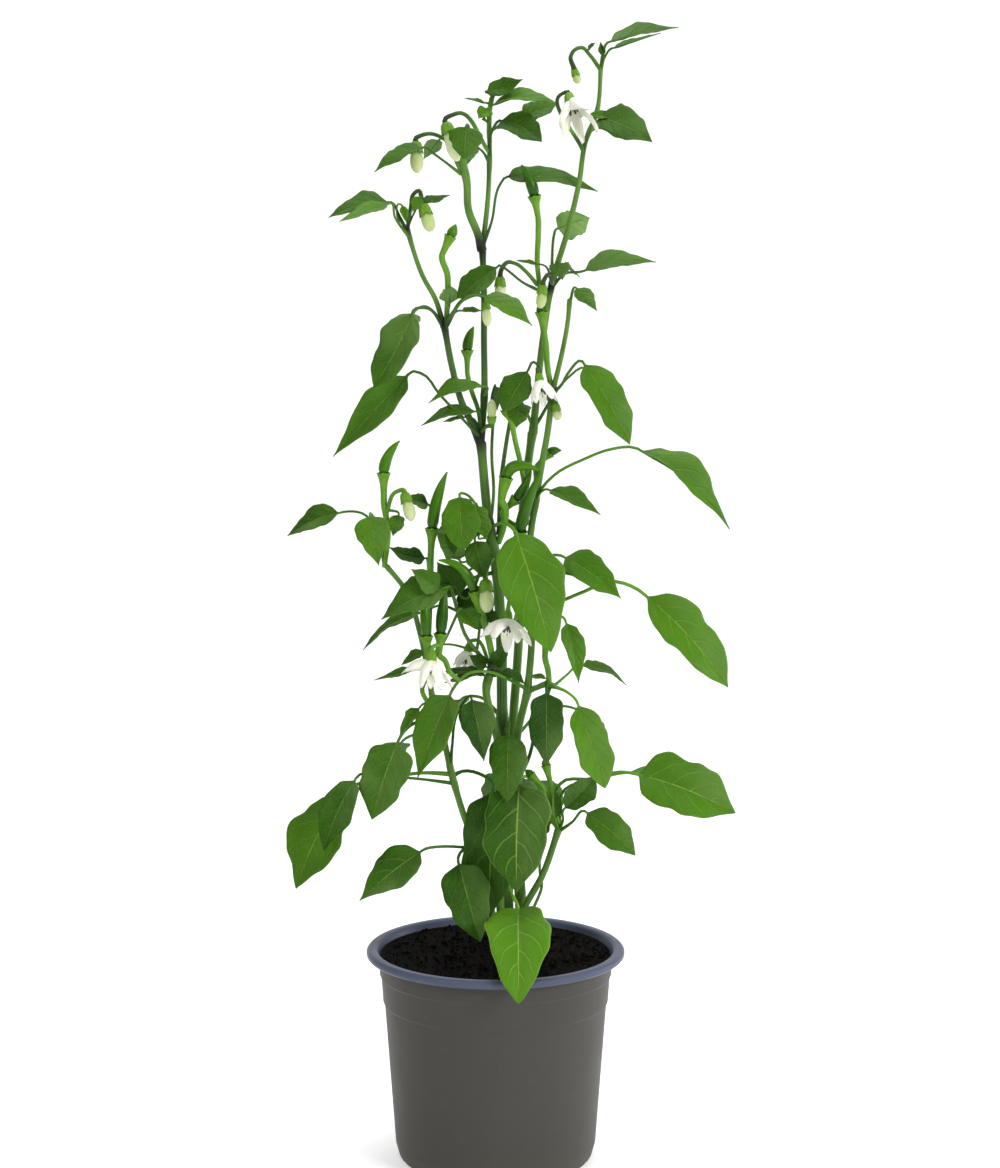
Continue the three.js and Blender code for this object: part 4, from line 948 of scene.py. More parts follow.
trunk.stem(
    [(-8, 3, 389), (-12, 2, 399), (-18, 0, 412), (-23, -4, 431), (-27, -8, 453)], 1.9, 1.6, tone=0.25,
)
trunk.stem([(-27, -8, 451), (-31, -9, 465), (-38, -10, 478), (-43, -11, 492), (-46, -12, 503)], 1.4, 1.1)
trunk.stem([(2, 8, 340), (3, 9, 368), (6, 10, 390.5), (9, 9, 408)], 1.4, 0.9, tone=0.3)
trunk.stem([(-3, 5, 344), (-1, 7, 362), (-2, 9, 384), (-1, 9, 405)], 0.9, 0.8)
trunk.leaf(
    [(-2, 9, 568), (-2.5, 7, 572)], (-5.5, 5, 573.5), (14, 0, 579.5), (-0.1, -0.9, 0.4), 10.5, bow=-2,
    cut=(0.5, 1),
)
trunk.leaf([(-2, 9, 567)], (0, 7, 572), (8, 4, 576), (0, -0.5, 0.85), 6)
trunk.leaf([(-3, 10, 560)], (-3, 6, 566), (33.5, -2, 566), (0, -0.45, 0.9), 15, bow=5, cut=(0.5, 0.9))
trunk.leaf([(-3, 10, 553), (4, 12, 557)], (13, 14, 560.5), (33.5, 20, 568.5), (0, -0.8, 0.6), 13)
trunk.leaf(
    [(-3, 9, 538), (-2, 5, 552.5)], (2, 3, 558.5), (24, -14, 547), (0.1, -0.8, 0.6), 18.5, bow=3,
    cut=(0.5, 0.72), tone=0.15,
)
trunk.leaf([(-3, 9, 552)], (-4, 5, 558), (-7, 2, 559), (0, -0.7, 0.7), 5)
trunk.leaf([(-2, 9, 562)], (-4, 5, 565), (-9, 2, 559.5), (-0.2, -0.9, 0.3), 8, tone=1)
trunk.leaf(
    [(-18, -7, 537), (-14, -8, 549), (-14, -15, 555)], (-15, -20, 554.5), (-16, -25, 537.5),
    (0.1, -0.95, 0.3), 17.5, cut=(0.45, 0.8), tone=0.3,
)
trunk.leaf(
    [(-7, 2, 492), (-2, 4, 506), (2.5, 6, 525.5)], (5.5, 7, 529.5), (54, 10, 522), (-0.1, -0.6, 0.8), 15,
    bow=4, cut=(0.35, 0.9), tone=0.3,
)
trunk.leaf(
    [(-18, -6, 530.5), (-26, -12, 536.5), (-33, -18, 541.5)], (-36.5, -22, 544), (-62, -30, 531),
    (-0.3, -0.5, 0.85), 15, bow=2, tone=0.4,
)
trunk.leaf([(-17, -6, 536), (-22, -1, 547)], (-29, 3, 549), (-38, 14, 539), (0, 0.6, 0.8), 9)
trunk.leaf(
    [(-46, -12, 501), (-50, -12, 509)], (-54, -12, 516), (-86, -24, 508), (-0.2, -0.6, 0.8), 16, bow=3,
)
trunk.leaf(
    [(-45, -12, 498), (-52, -15, 508)], (-54, -22, 515.5), (-79.5, -38, 506), (-0.2, -0.5, 0.85), 12.5,
)
trunk.leaf([(-46, -12, 502), (-43, -10, 509)], (-39, -8, 515), (-24, 2, 520), (0, -0.5, 0.9), 8)
trunk.leaf(
    [(-27, -8, 451), (-35, -12, 461)], (-42.5, -15, 460.5), (-63, -28, 420.5), (-0.35, -0.9, 0.3), 22,
    bow=3, sway=-3, cut=(0.7, 0.75), tone=0.3, waves=0.1,
)
trunk.leaf(
    [(-8, 3, 392), (-13, -3, 398), (-21, -8, 407), (-30, -10, 417), (-37, -9, 426)], (-44, -7, 428),
    (-85, -18, 384), (0.35, -0.7, 0.6), 19, fold=30, bow=3, tone=0.4, waves=0.09,
)
trunk.leaf([(-27, -8, 452)], (-24, -12, 463), (-23, -26, 473), (0, -0.3, 1), 11)
trunk.leaf(
    [(-27, -8, 452), (-19, -20, 463), (-13, -26, 468)], (-7, -28, 468), (19, -40, 453), (0.2, -0.7, 0.7),
    14, bow=3,
)
trunk.leaf([(-6, 4, 414)], (-5, -5, 420), (-35, -16, 412), (-0.1, -0.4, 0.9), 15, bow=4)
trunk.leaf([(-8, 3, 396), (-8, -2, 403)], (-9, -6, 407), (-39, -14, 400), (-0.1, -0.4, 0.9), 12, bow=3)
trunk.leaf(
    [(-3, 5, 343), (1, -4, 347), (6, -12, 348)], (10.5, -17, 344.5), (29, -40, 284), (0.1, -0.95, 0.3), 33,
    fold=12, bow=5, cut=(0.42, 0.68), tone=0.8, bold=0.5, waves=0.08,
)
trunk.leaf(
    [(4, 6, 230), (7, -2, 240)], (7, -12, 237), (6, -36, 204), (0, -0.85, 0.55), 20, bow=2, cut=(0.5, 0.66),
    tone=0.2,
)
trunk.leaf(
    [(6, 4, 163), (6, -10, 157), (8, -22, 152)], (12, -31, 146), (12, -79, 107), (0, -0.72, 0.7), 33.5,
    fold=16, bow=9, cut=(0.4, 0.66), tone=1, bold=0.9,
)
trunk.leaf(
    [(-3, 5, 341), (-9, 6, 354), (-15, 2, 362)], (-19, -4, 363), (-17, -20, 335), (-0.1, -0.9, 0.4), 20,
    bow=2, cut=(0.55, 0.5), tone=0.55,
)
trunk.leaf([(-3, 5, 336)], (-18, -6, 308.5), (-31, -9, 327.5), (-0.2, -0.9, 0.4), 16, tone=0.15)
trunk.leaf([(-1, 6, 320)], (-12.5, 2, 315.5), (-8.5, -3, 290), (0, -0.95, 0.2), 21, tone=0, cut=(0.6, 0.6))
trunk.leaf(
    [(-3, 5, 345)], (-11.5, 0, 357), (-5, -12, 340.5), (0.3, -0.9, 0.3), 12, tone=0.8, cut=(0.5, 0.7),
)
trunk.leaf(
    [(-3, 5, 338), (-13.5, 2, 327)], (-18.5, 0, 326.5), (-29, -6, 343), (0.3, 0.8, 0.3), 12, tone=0.7,
)
trunk.leaf([(-3, 5, 340), (-8, -6, 343)], (-11, -12, 340), (-6, -24, 320), (0, -0.9, 0.4), 15)
trunk.leaf([(-1, 6, 332), (-12, -6, 333)], (-21, -14, 331), (-31, -22, 345), (0.2, -0.8, 0.5), 11)
trunk.leaf([(5, 5, 198), (6, 15, 207)], (7, 24, 207), (2, 54, 172), (-0.1, 0.8, 0.6), 26, bow=4)
trunk.leaf([(-2, 6, 337), (-8, 14, 347)], (-13, 22, 347), (-27, 46, 320), (-0.3, 0.7, 0.6), 24, bow=3)
trunk.leaf([(-2, 9, 567)], (-5, 9, 568), (-16, 3, 570), (0, -0.3, 1), 6)
trunk.leaf([(-1, 9, 404), (-2, 9, 414)], (0, 9, 420), (1, 16, 406), (0.5, -0.7, 0.3), 7)
trunk.leaf([(-3, 5, 339), (-7, 0, 339)], (-9, -2, 339), (-10, 2, 358), (-0.3, -0.9, 0), 9)
trunk.leaf([(-8, 3, 396), (-12, -1, 403)], (-16, -4, 404), (-28, 2, 401), (0, -0.5, 0.9), 5)
trunk.leaf([(-27, -8, 452)], (-18, -12, 460), (-7, -10, 460), (0, -0.5, 0.9), 6)
trunk.leaf(
    [(-27, -8, 452), (-35, 2, 461)], (-43, 18, 459), (-60, 55, 428), (-0.3, 0.8, 0.6), 17, bow=3, tone=0.5,
)
trunk.leaf(
    [(-3, 9, 536), (-7, 14, 543)], (-12, 18, 546), (-20, 38, 532), (-0.2, 0.8, 0.6), 13, bow=2, tone=0.4,
)
trunk.leaf(
    [(-1, 6, 330), (-14, 16, 320)], (-28, 25, 312), (-50, 55, 292), (-0.3, 0.8, 0.6), 18, bow=3, tone=0.3,
)
trunk.leaf(
    [(4, 6, 240), (-8, 18, 250)], (-18, 28, 248), (-40, 60, 215), (-0.3, 0.7, 0.6), 24, bow=4, tone=0.4,
)
trunk.leaf(
    [(-46, -12, 502.5), (-51, -13, 509), (-50, -13, 515)], (-48.5, -13, 514.5), (-46, -14, 505.5),
    (0.3, -1, 0), 5, fold=35,
)
trunk.leaf([(-44, -9, 512)], (-39, -11, 519), (-43, -13, 511), (0, -1, 0.2), 7, tone=0.7)
trunk.pod(
    [(-8, 4, 397), (-9, 7, 406), (-13, 8, 418)], (-15, 8, 438), (-11.5, 6, 451), 5.6, middle=(-15, 8, 445),
    thick=1.3,
)
trunk.pod(
    [(17, 6, 345.5), (16, 3, 362), (13.5, 1, 378)], (7.5, 0, 407), (6.5, -1, 420.5), 8,
    middle=(6.5, 0, 412.5),
)
trunk.pod(
    [(1.5, 6, 336), (4, 1, 344.5), (5, -3, 355.5)], (5.5, -5, 371.5), (24, -8, 375.5), 6.4,
    middle=(8, -6, 383), thick=2.1,
)
trunk.pod(
    [(-26, -8, 450), (-25, -12, 465.5), (-25, -13, 478.5)], (-23.5, -14, 498), (-20.5, -14, 504.5), 5.4,
    thick=1.6,
)
trunk.bud(
    [(-3, 9, 542), (-10.5, -4, 555.5), (-15.5, -9, 559.5), (-21, -12, 561)], (-24.5, -14, 552.5),
    (-19.5, -18, 537), 7.4,
)
trunk.bud(
    [(-17, -7, 536), (-28.5, -10, 549.5), (-34, -12, 551), (-38.5, -13, 550)], (-41, -14, 543),
    (-40.5, -15, 531), 7,
)
trunk.bud(
    [(-46, -12, 500), (-44, -9, 514), (-43, -9, 519.5), (-40, -9, 522)], (-36.5, -11, 511),
    (-33.5, -13, 501), 7,
)
trunk.bud([(-26, -8, 451), (-16, -11, 466), (-8, -14, 468)], (-5, -16, 462), (-4, -16, 452), 5)
trunk.bud([(-1, 6, 328), (-4.5, -12, 323.5)], (-5, -17, 314.5), (-4.5, -20, 302), 7.8)
trunk.bud([(-8, 3, 395), (-4, -2, 399)], (-2, -4, 403), (-2, -6, 413), 5)
trunk.grow()

# ---------------------------------------------------------------- right shoot and flowers
# A second old stem, a little behind the trunk, which carries the plant's tip. Its first flower
# nods below the tip: a white corolla parted into five lobes, with dark anthers round a pale pistil.

petal_blank = Blank("skin", 110, 32)
THROAT_RADIUS = 2.2

LOBES = 5
LOBE_TURN = 2 * math.pi / LOBES

petal_skin = Finish("petal_skin")
rays = petal_skin.streaks(70, 3, detail=2, rough=0.5)
throat = petal_skin.attribute("throat")
cream = petal_skin.mix(
    petal_skin.clouds(160, 4) * 0.6 + rays * 0.4, paint(226, 226, 206), paint(246, 246, 236)
)
petal_skin.feed(
    Base_Color=petal_skin.mix(throat * 0.7, cream, paint(186, 204, 120)),
    Roughness=0.5 + rays * 0.15,
    Subsurface_Weight=0.12,
    Subsurface_Radius=(0.8, 0.8, 0.6),
    Subsurface_Scale=0.0015,
)
petal_skin.relief(rays + petal_skin.clouds(700, 3) * 0.6, 0.14 * MM)
anther_skin = Finish("anther_skin")
pollen = anther_skin.cells(2600, feature="F1")
anther_skin.feed(
    Base_Color=anther_skin.mix(
        anther_skin.clouds(900, 3) * 0.7 + anther_skin.attribute("tone") * 0.4,
        paint(40, 44, 56),
        paint(104, 106, 120),
    ),
    Roughness=0.7 + pollen * 0.2,
)
anther_skin.relief(pollen, 0.12 * MM)
pistil_skin = stem_finish("pistil_skin", paint(176, 196, 120), paint(216, 224, 176), paint(90, 90, 90))


def grow_flower(mouth, tip, petal, flare, spin, lobes):
    """The corolla, drawn from one skin, and the anthers round the pistil, one to each gap."""
    number = Shoot.counts["flower"] + 1
    Shoot.counts["flower"] = number
    start = np.array(mouth, float)
    axis = unit(np.array(tip, float) - start)
    side, over = (f[0] for f in square_frames(np.array([start, start + axis])))
    along, turn = petal_blank.along, petal_blank.turn
    lobe = np.rint(turn / LOBE_TURN).astype(int) % LOBES
    from_fold = (turn / LOBE_TURN - np.rint(turn / LOBE_TURN)) * 2

    def each_lobe(low, high):
        return np.array([chance.uniform(low, high) for _ in range(LOBES)])

    long = each_lobe(0.92, 1.05)[lobe]
    spread = (np.array(lobes) * each_lobe(0.9, 1.1))[lobe]
    curl = each_lobe(-0.5, 1)[lobe]
    blend = 1 - np.abs(from_fold) ** 3
    long = 1 + (long - 1) * blend
    spread = 1 + (spread - 1) * blend
    width = np.abs(from_fold)
    length = petal * (0.36 + 0.64 * (1 - width**1.7)) * long
    # Out over the outside of the petals to their margin, and back over the inside.
    reach = np.interp(along, [0, 0.1, 0.5, 0.9, 1], [0, 0, 1, 0, 0])
    hub = np.interp(along, [0, 0.1, 0.9, 1], [0, 1, 1, 0])
    inside = along > 0.5
    run = length * reach
    angle = np.radians(flare) * spread * (1.35 - 0.6 * run / petal)
    aim = turn - from_fold * 0.12 * run / petal + math.radians(spin)
    ray = side * np.cos(aim)[:, None] + over * np.sin(aim)[:, None]
    inward = axis * np.sin(angle)[:, None] - ray * np.cos(angle)[:, None]
    skin = 0.3 - 0.18 * reach
    cupped = petal * reach * (0.09 * width**2 - 0.02)
    waved = petal * 0.035 * reach**2 * np.sin(9 * reach + 5 * from_fold + 2 * lobe)
    curled = petal * 0.1 * curl * reach**3
    lift = cupped + waved + curled + np.where(inside, skin, 0)
    spots = (
        start
        + axis * (0.3 + run * np.cos(angle))[:, None]
        + ray * (THROAT_RADIUS * hub + run * np.sin(angle))[:, None]
        + inward * (lift * (hub > 0.5))[:, None]
        + axis * np.where(inside & (reach == 0), 0.35, 0)[:, None]
    )
    petals = petal_blank.drawn(spots, [petal_skin.material], throat=np.exp(-reach * 7))
    name_piece(petals, f"flower_{number}_petals")
    floor = start + axis
    pistil = drawn_rod(
        stalk_blank,
        [floor, floor + axis * 4, floor + axis * 7.6, floor + axis * 8.4],
        [0.9, 0.4, 0.3, 0.5],
        [pistil_skin],
        tone=0.5,
        dark=0,
    )
    anthers = [pistil]
    for i in range(LOBES):
        around = 2 * math.pi * (i + 0.5) / LOBES
        spoke = side * math.cos(around) + over * math.sin(around)
        root = floor + spoke * 0.9
        neck = floor + axis * 3 + spoke * 1.5
        head = floor + axis * chance.uniform(6.2, 7.4) + spoke * chance.uniform(2.2, 3.2)
        stalk = drawn_rod(stalk_blank, [root, neck], [0.22, 0.16], [pistil_skin], tone=0.5, dark=0)
        middle = neck + (head - neck) * 0.5 + spoke * 0.12
        anther = drawn_rod(
            stalk_blank,
            [neck, neck + (head - neck) * 0.18, middle, head - (head - neck) * 0.12, head],
            [0.25, 0.62, 0.66, 0.5, 0.2],
            [anther_skin.material],
            flutes=lambda turn, _: 1 - 0.18 * np.abs(np.cos(turn)) ** 6,
            tone=chance.random(),
        )
        anthers += [stalk, anther]
    anthers = join(anthers, f"flower_{number}_anthers")
    for piece, node, slot in ((petals, "corolla", "petal"), (anthers, "stamens", "stamen")):
        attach(piece, "root")
        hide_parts(f"flower_{number}_{node}")


right = Shoot("right")
right.knot((30, 6, 472), 5)
right.knot((43, -3, 547), 6)
right.stem(
    [
        (15, 13, 88), (13, 12, 141), (11, 13, 181), (9, 13, 217), (12, 15, 272), (14, 15, 304),
        (15, 13, 358), (17, 12, 375), (20, 11, 397),
    ],
    2.7, 2.1,
)
right.stem(
    [
        (20, 11, 394), (23, 9, 425), (25, 8, 443), (30, 6, 474), (38, 4, 501), (44, 2, 527),
        (47, 1, 547), (53, 1, 563), (55, 1, 587),
    ],
    2, 1,
)
right.leaf([(55, 1, 585), (56, 1, 593)], (58, 1, 598.2), (96, 12, 607), (0, -0.45, 0.9), 15, bow=2)
right.leaf([(55, 1, 584), (57, -2, 591)], (60, -4, 595), (85, -16, 602), (0, -0.15, 1), 10)
right.leaf(
    [(53, 1, 562), (51.5, -3, 561.5)], (53.5, -6, 560), (80.5, -24, 546.5), (0.1, -0.9, 0.4), 20, bow=3,
    cut=(0.45, 0.85),
)
right.leaf([(30, 6, 473), (32, 4, 481)], (33, 2, 485), (35, -10, 476), (0, -0.8, 0.6), 11)
right.leaf([(30, 6, 472), (37, 5, 479)], (45, 4, 480), (85, 12, 485), (0, -0.6, 0.8), 15, bow=4)
right.leaf(
    [(30, 7, 477), (30, 10, 488), (31, 12, 499)], (32, 14, 502), (50, 24, 508), (0, 0.9, -0.3), 17, bow=-2,
    cut=(0.5, 0.8),
)
right.leaf(
    [(29, 4, 416.5), (24, -2, 425), (22.5, -5, 431), (19.5, -7, 433)], (17.5, -9, 429.5), (4, -18, 407.5),
    (-0.2, -0.9, 0.4), 17, cut=(0.75, 0.7), tone=0.2,
)
right.leaf([(20, 11, 397), (16, 3, 407)], (13, -4, 412), (11, -16, 399), (0, -0.7, 0.7), 13)
right.leaf([(14, 15, 322), (15, 22, 327)], (16, 29, 324), (14, 54, 284), (0, 0.8, 0.6), 26, bow=4)
right.leaf([(10, 13, 199), (14, 22, 205)], (19, 30, 203), (30, 56, 168), (0.3, 0.8, 0.5), 26, bow=4)
right.leaf([(30, 6, 475)], (36, 10, 484), (45, 20, 477), (0.3, -0.5, 0.8), 8)
right.leaf([(30, 6, 474), (26, 5, 483)], (22, 3, 484), (11, 0, 486), (0, -0.5, 0.9), 4)
right.leaf([(53, 1, 561)], (60.5, -6, 560), (48, -10, 561), (0, -0.6, 0.8), 8, tone=0.5)
right.leaf(
    [(50, 1, 553), (53, 7, 555)], (58, 12, 560), (75.5, 30, 554), (0.2, 0.3, 0.9), 10, bow=2, tone=0.4,
)
right.leaf(
    [(20, 11, 396), (39.5, 12, 424.5), (46, 14, 429)], (51, 18, 426), (69, 48, 393.5), (0.2, 0.8, 0.5), 14,
    bow=3, tone=0.4,
)
right.leaf(
    [(10, 13, 228), (28.5, 22, 244)], (46.5, 32, 239.5), (58.5, 58, 204.5), (0.3, 0.8, 0.5), 16, bow=3,
    tone=0.3,
)
right.leaf([(48.5, 0, 592.5)], (48, -1, 594.5), (51.5, -3, 598), (0, -0.6, 0.8), 4)
right.leaf([(56, 1, 588.5)], (56.5, 1, 591.5), (54.5, 1, 598.5), (-0.4, -0.9, 0), 4.5, fold=35)
right.leaf(
    [(23, 4, 470), (13.5, -8, 475), (6, -14, 481)], (2, -17, 483.5), (-20, -22, 466.5), (-0.2, -0.85, 0.5),
    15, cut=(0.8, 0.75), tone=0.15,
)
right.pod(
    [(23.5, 5, 470.5), (22, 4, 485), (22.5, 3, 499)], (20.5, 2, 519), (13.5, 1, 535.5), 6,
    middle=(19, 1, 527.5), thick=1.5,
)
right.pod([(15, 13, 348), (11, 4, 345.5)], (10.5, 1, 359.5), (19, 0, 376), 5.4, middle=(16, 0, 365))
right.pod([(14, 14, 330), (12, 4, 334)], (13, -1, 343), (24, -10, 376), 6.5, middle=(15, -6, 356))
right.bud(
    [(55, 1, 584), (49, 0, 592), (45, -2, 595.5), (41.5, -3, 594.5), (39, -4, 590.5)], (41.5, -5, 582),
    (43, -5, 577), 4.4,
)
right.bud(
    [(22, 5, 473), (16, -4, 480), (11, -8, 484), (6.5, -10, 485)], (2.5, -12, 474), (2.5, -12, 466.5), 6,
)
right.bud([(30, 6, 473), (29.5, -2, 475.5), (27.5, -6, 478.5)], (24.5, -8, 470), (23.5, -8, 461), 5.6)
right.flower(
    [(46, 1, 542), (41.5, -4, 549), (38.5, -7, 559), (35.5, -10, 568.5), (35, -14, 571.5)],
    (38.5, -17, 567.5), (41, -24, 556.5), 6, petal=22, flare=28, spin=18, lobes=(1, 1.7, 1, 0.9, 0.9),
)
right.grow()

# ---------------------------------------------------------------- inner shoot
# A third green stem between the first two, rooted in the same soil. It forks twice, and its lower
# fork carries large drooping leaves over the front of the pot.

inner = Shoot("inner")
inner.knot((29, -5, 416), 5)
inner.stem(
    [(19, -2, 88), (15, -2, 136), (12, -2, 181), (11, -1, 219), (12, 0, 234), (15, -1, 248), (18, -2, 260)],
    2.4, 1.9,
)
inner.stem(
    [(17, -2, 256), (19, -2, 277), (19, 0, 343), (21, 0, 356), (24, -1, 375), (28, -4, 399), (30, -6, 419)],
    1.9, 1.6,
)
inner.stem([(30, -6, 417), (34, -6, 433), (38, -5, 454), (39, -5, 466)], 1.4, 1.1)
inner.stem([(17, -2, 257), (22, -3, 259), (27, -4, 261), (32, -5, 260)], 1.5, 1.3)
inner.leaf(
    [(30, -6, 417), (34, -8, 420), (38, -9, 427)], (45, -11, 434), (70, -24, 391), (0.3, -0.85, 0.4), 21,
    bow=3, tone=0.7, cut=(0.6, 0.75),
)
inner.leaf(
    [(21, 0, 359), (26, -4, 368), (32, -6, 374), (47, -8, 382), (60, -9, 387)], (74, -9, 388),
    (123, -20, 346), (0.3, -0.55, 0.8), 23, fold=28, bow=6, waves=0.11, tone=0.6,
)
inner.leaf([(21, 0, 357), (24, -4, 364)], (27, -7, 366), (55, -22, 354), (0.1, -0.5, 0.85), 14, bow=2)
inner.leaf([(19, 0, 326), (26, -7, 330)], (35, -11, 331), (66, -24, 310), (0.2, -0.8, 0.55), 21, bow=3)
inner.leaf(
    [(19, -1, 300), (28, -4, 303), (46, -8, 311), (62, -9, 317)], (77, -11, 312), (123, -20, 262),
    (0.35, -0.8, 0.5), 30, fold=14, bow=5, cut=(0.8, 0.9), tone=0.75, bold=0.4,
)
inner.leaf([(19, -1, 289), (27, -2, 296)], (37, -13, 297), (44, -24, 265), (0.5, -0.8, 0.3), 14, bow=2)
inner.leaf([(31, -5, 260), (38, 1, 265)], (45, 5, 270), (71, 18, 257), (0.1, -0.4, 0.9), 12, bow=3)
inner.leaf(
    [(27, -4, 261), (27, -9, 263)], (27, -13, 260), (27, -24, 221), (0, -1, 0.1), 19.5, bow=2,
    cut=(0.5, 0.8), tone=-0.1,
)
inner.leaf(
    [(31, -5, 260), (38, -11, 258)], (43, -15, 254), (58, -27, 209), (0.15, -0.95, 0.3), 20, bow=3,
    cut=(0.6, 0.6), tone=0.9,
)
inner.leaf(
    [(29, -4, 260), (25, -6, 248), (21, -10, 235), (18, -16, 224)], (13, -24, 213), (11, -46, 157),
    (-0.15, -0.95, 0.3), 37, fold=14, bow=5, cut=(0.5, 0.85), tone=0.1, bold=0.75,
)
inner.leaf(
    [(17, -2, 258), (8, -10, 264), (-3, -13, 269), (-14, -16, 269)], (-23, -18, 260), (-41, -34, 216),
    (-0.2, -0.9, 0.35), 23, fold=22, bow=3, tone=0.45, waves=0.08,
)
inner.leaf([(39, -5, 464)], (42, -3, 472), (53, -14, 460), (0.3, -0.8, 0.5), 10)
inner.leaf([(27, -4, 261)], (27, 4, 263), (17, 14, 263), (0, -0.4, 0.9), 5)
inner.pod(
    [(30, -6, 417), (27.5, -3, 429.5), (26.5, -4, 441.5)], (24.5, -4, 458.5), (24, -4, 463.5), 6.2,
    thick=1.7,
)
inner.pod(
    [(21.5, -1, 364), (21.5, 0, 371)], (28.5, 3, 384), (35, 3, 385.5), 5, middle=(30.5, 3, 386), thick=1.3,
)
inner.pod([(29, -4, 259), (28, -7, 269), (27, -9, 281)], (27, -10, 289), (28, -11, 306), 6.5, thick=1.6)
inner.pod(
    [(-19, -17, 265), (-24, -17, 269.5), (-27, -16, 276)], (-29, -15, 289.5), (-26.5, -12, 316), 6.2,
    middle=(-28, -15, 303.5), thick=1.5,
)
inner.bud([(29, -5, 410), (30.5, -7, 414)], (32, -8, 408.5), (33, -8, 402.5), 4.8)
inner.flower(
    [(29, -5, 411), (24, -8, 422.5), (22, -12, 427.5)], (23, -15, 424), (25, -17, 413.5), 4.8, petal=14,
    flare=38, lobes=(0.8, 1, 0.9, 0.9, 0.8),
)
inner.grow()

# ---------------------------------------------------------------- centre shoot
# A short, young stem in the middle of the pot, ribbed and green like the others. It ends in a
# dark joint, from which two flowers, a pod, small leaves and a thin side stem grow.

centre = Shoot("centre")
centre.knot((-1, -7, 270), 6)
centre.stem(
    [(4, -3.2, 88), (2.5, -4, 144), (1, -4, 196), (1, -3, 231), (-3, -3, 246), (-5, -3, 258),
    (-1, -3, 272)], 2.3, 2,
)
centre.stem([(-0.5, -3, 267), (-1, -6, 269), (-1.5, -10, 271.5)], 2.2, 2)
centre.stem([(-1, -3, 270), (-10, -6, 279), (-16, -7, 288), (-20, -8, 301), (-24, -9, 315)], 1, 0.9)
centre.leaf([(-24, -9, 314)], (-25, -15, 315), (-60, -25, 299), (-0.3, -0.7, 0.65), 22, bow=3, tone=0.3)
centre.leaf([(-24, -9, 314)], (-29, -18, 313), (-44, -24, 325.5), (-0.2, -0.8, 0.6), 13, tone=0.35)
centre.leaf([(-20, -8, 301), (-29, 0, 303)], (-38, 7, 299), (-72, 18, 276), (-0.2, -0.4, 0.9), 13, bow=4)
centre.leaf([(-20, -8, 300)], (-18, -13, 303), (-9, -24, 294), (0.2, -0.7, 0.6), 13)
centre.leaf([(-4, -3, 262)], (-8, 3, 266), (-28, 13, 259), (0, -0.4, 0.9), 10)
centre.leaf([(-20, -8, 300), (-31, 0, 278)], (-41, 6, 268), (-66, 16, 260), (0, -0.4, 0.9), 8)
centre.leaf([(-10, -6, 279), (-26, -7, 283)], (-38, -6, 280), (-50, -14, 273), (0, -0.5, 0.9), 7)
centre.leaf([(-10, -6, 280)], (-5, -8, 300), (2, -16, 294), (0.2, -0.7, 0.6), 9)
centre.leaf([(-1, -3, 271)], (-4.5, -6, 270.5), (-14, -12, 278), (0, -0.9, 0.4), 8, tone=0)
centre.leaf([(-1, -3, 271)], (-2, -5, 270), (6.5, -9, 284), (0.3, -0.9, 0.2), 9, tone=0.05)
centre.leaf([(-1, -3, 269)], (-4.5, -6, 266), (-30, -12, 268), (0, -0.35, 0.95), 9, bow=2, tone=0.1)
centre.leaf([(-1, -3, 269)], (2.5, -6, 268), (16, -11, 262), (0, -0.5, 0.85), 8, bow=2, tone=0.1)
centre.pod(
    [(-1, -3, 271), (-3.5, -9, 285.5), (-5.5, -13, 295)], (-11, -17, 312.5), (-30, -19, 329.5), 5.6,
    middle=(-15.5, -19, 329), thick=2,
)
centre.flower(
    [(-1, -3, 270), (4, -6, 278), (11, -8, 290), (11, -13, 305), (8, -20, 310)], (6.5, -24, 299.5),
    (6, -28, 288), 5.2, petal=17.5, flare=46, lobes=(0.9, 1.15, 0.8, 1.15, 1.25),
)
centre.flower(
    [(-2, -3, 268), (-6, 3, 278), (-11, 8, 283)], (-15, 10, 277), (-17, 9, 266), 4.5, petal=11, flare=34,
)
centre.grow()

# ---------------------------------------------------------------- left shoot
# A long thin stem that leaves the soil at the front and leans out to the left. Its leaves hang
# on long stalks, and three young pods stand up from it.

left = Shoot("left")
left.stem(
    [
        (3, -9.5, 88), (1, -9.5, 122), (-4, -10.5, 148), (-10, -12, 173), (-17, -14, 192),
        (-22, -14, 209), (-28, -13, 234), (-32, -11, 247), (-36, -8, 269), (-40, -6, 288),
        (-48, -5, 312), (-59, -5, 326),
    ],
    2, 1.3,
)
left.leaf(
    [(-29, -13, 238), (-37, -18, 244), (-46, -22, 241)], (-51, -25, 235), (-65, -36, 194),
    (-0.2, -0.95, 0.35), 26, fold=10, bow=3, cut=(0.5, 0.8), tone=0.3,
)
left.leaf([(-33, -10, 253)], (-40, -16, 251), (-51, -22, 236), (-0.6, -0.7, 0.4), 9, fold=25)
left.leaf(
    [(-23, -14, 214), (-38, -15, 215), (-56, -17, 213), (-72, -18, 210)], (-80, -18, 206), (-106, -28, 155),
    (-0.35, -0.85, 0.4), 30, fold=10, bow=5, cut=(0.6, 0.8), tone=0.5, waves=0.08,
)
left.leaf(
    [(-22, -14, 209), (-38, -18, 212), (-58, -20, 214)], (-73, -30, 216), (-90, -43, 179),
    (-0.3, -0.85, 0.4), 19, bow=4, tone=0.1, cut=(0.6, 0.8),
)
left.leaf(
    [(-23, -14, 213), (-18, -11, 215), (-8, -9, 213)], (-1, -11, 208), (-3, -28, 139), (-0.2, -0.95, 0.3),
    32, fold=8, bow=3, cut=(0.6, 0.9), tone=0.05,
)
left.leaf(
    [(-24, -14, 217), (-23, -16, 230), (-20, -17, 248)], (-13, -18, 257), (-6, -30, 224), (0.25, -0.95, 0),
    18.5, bow=2, tone=-0.1,
)
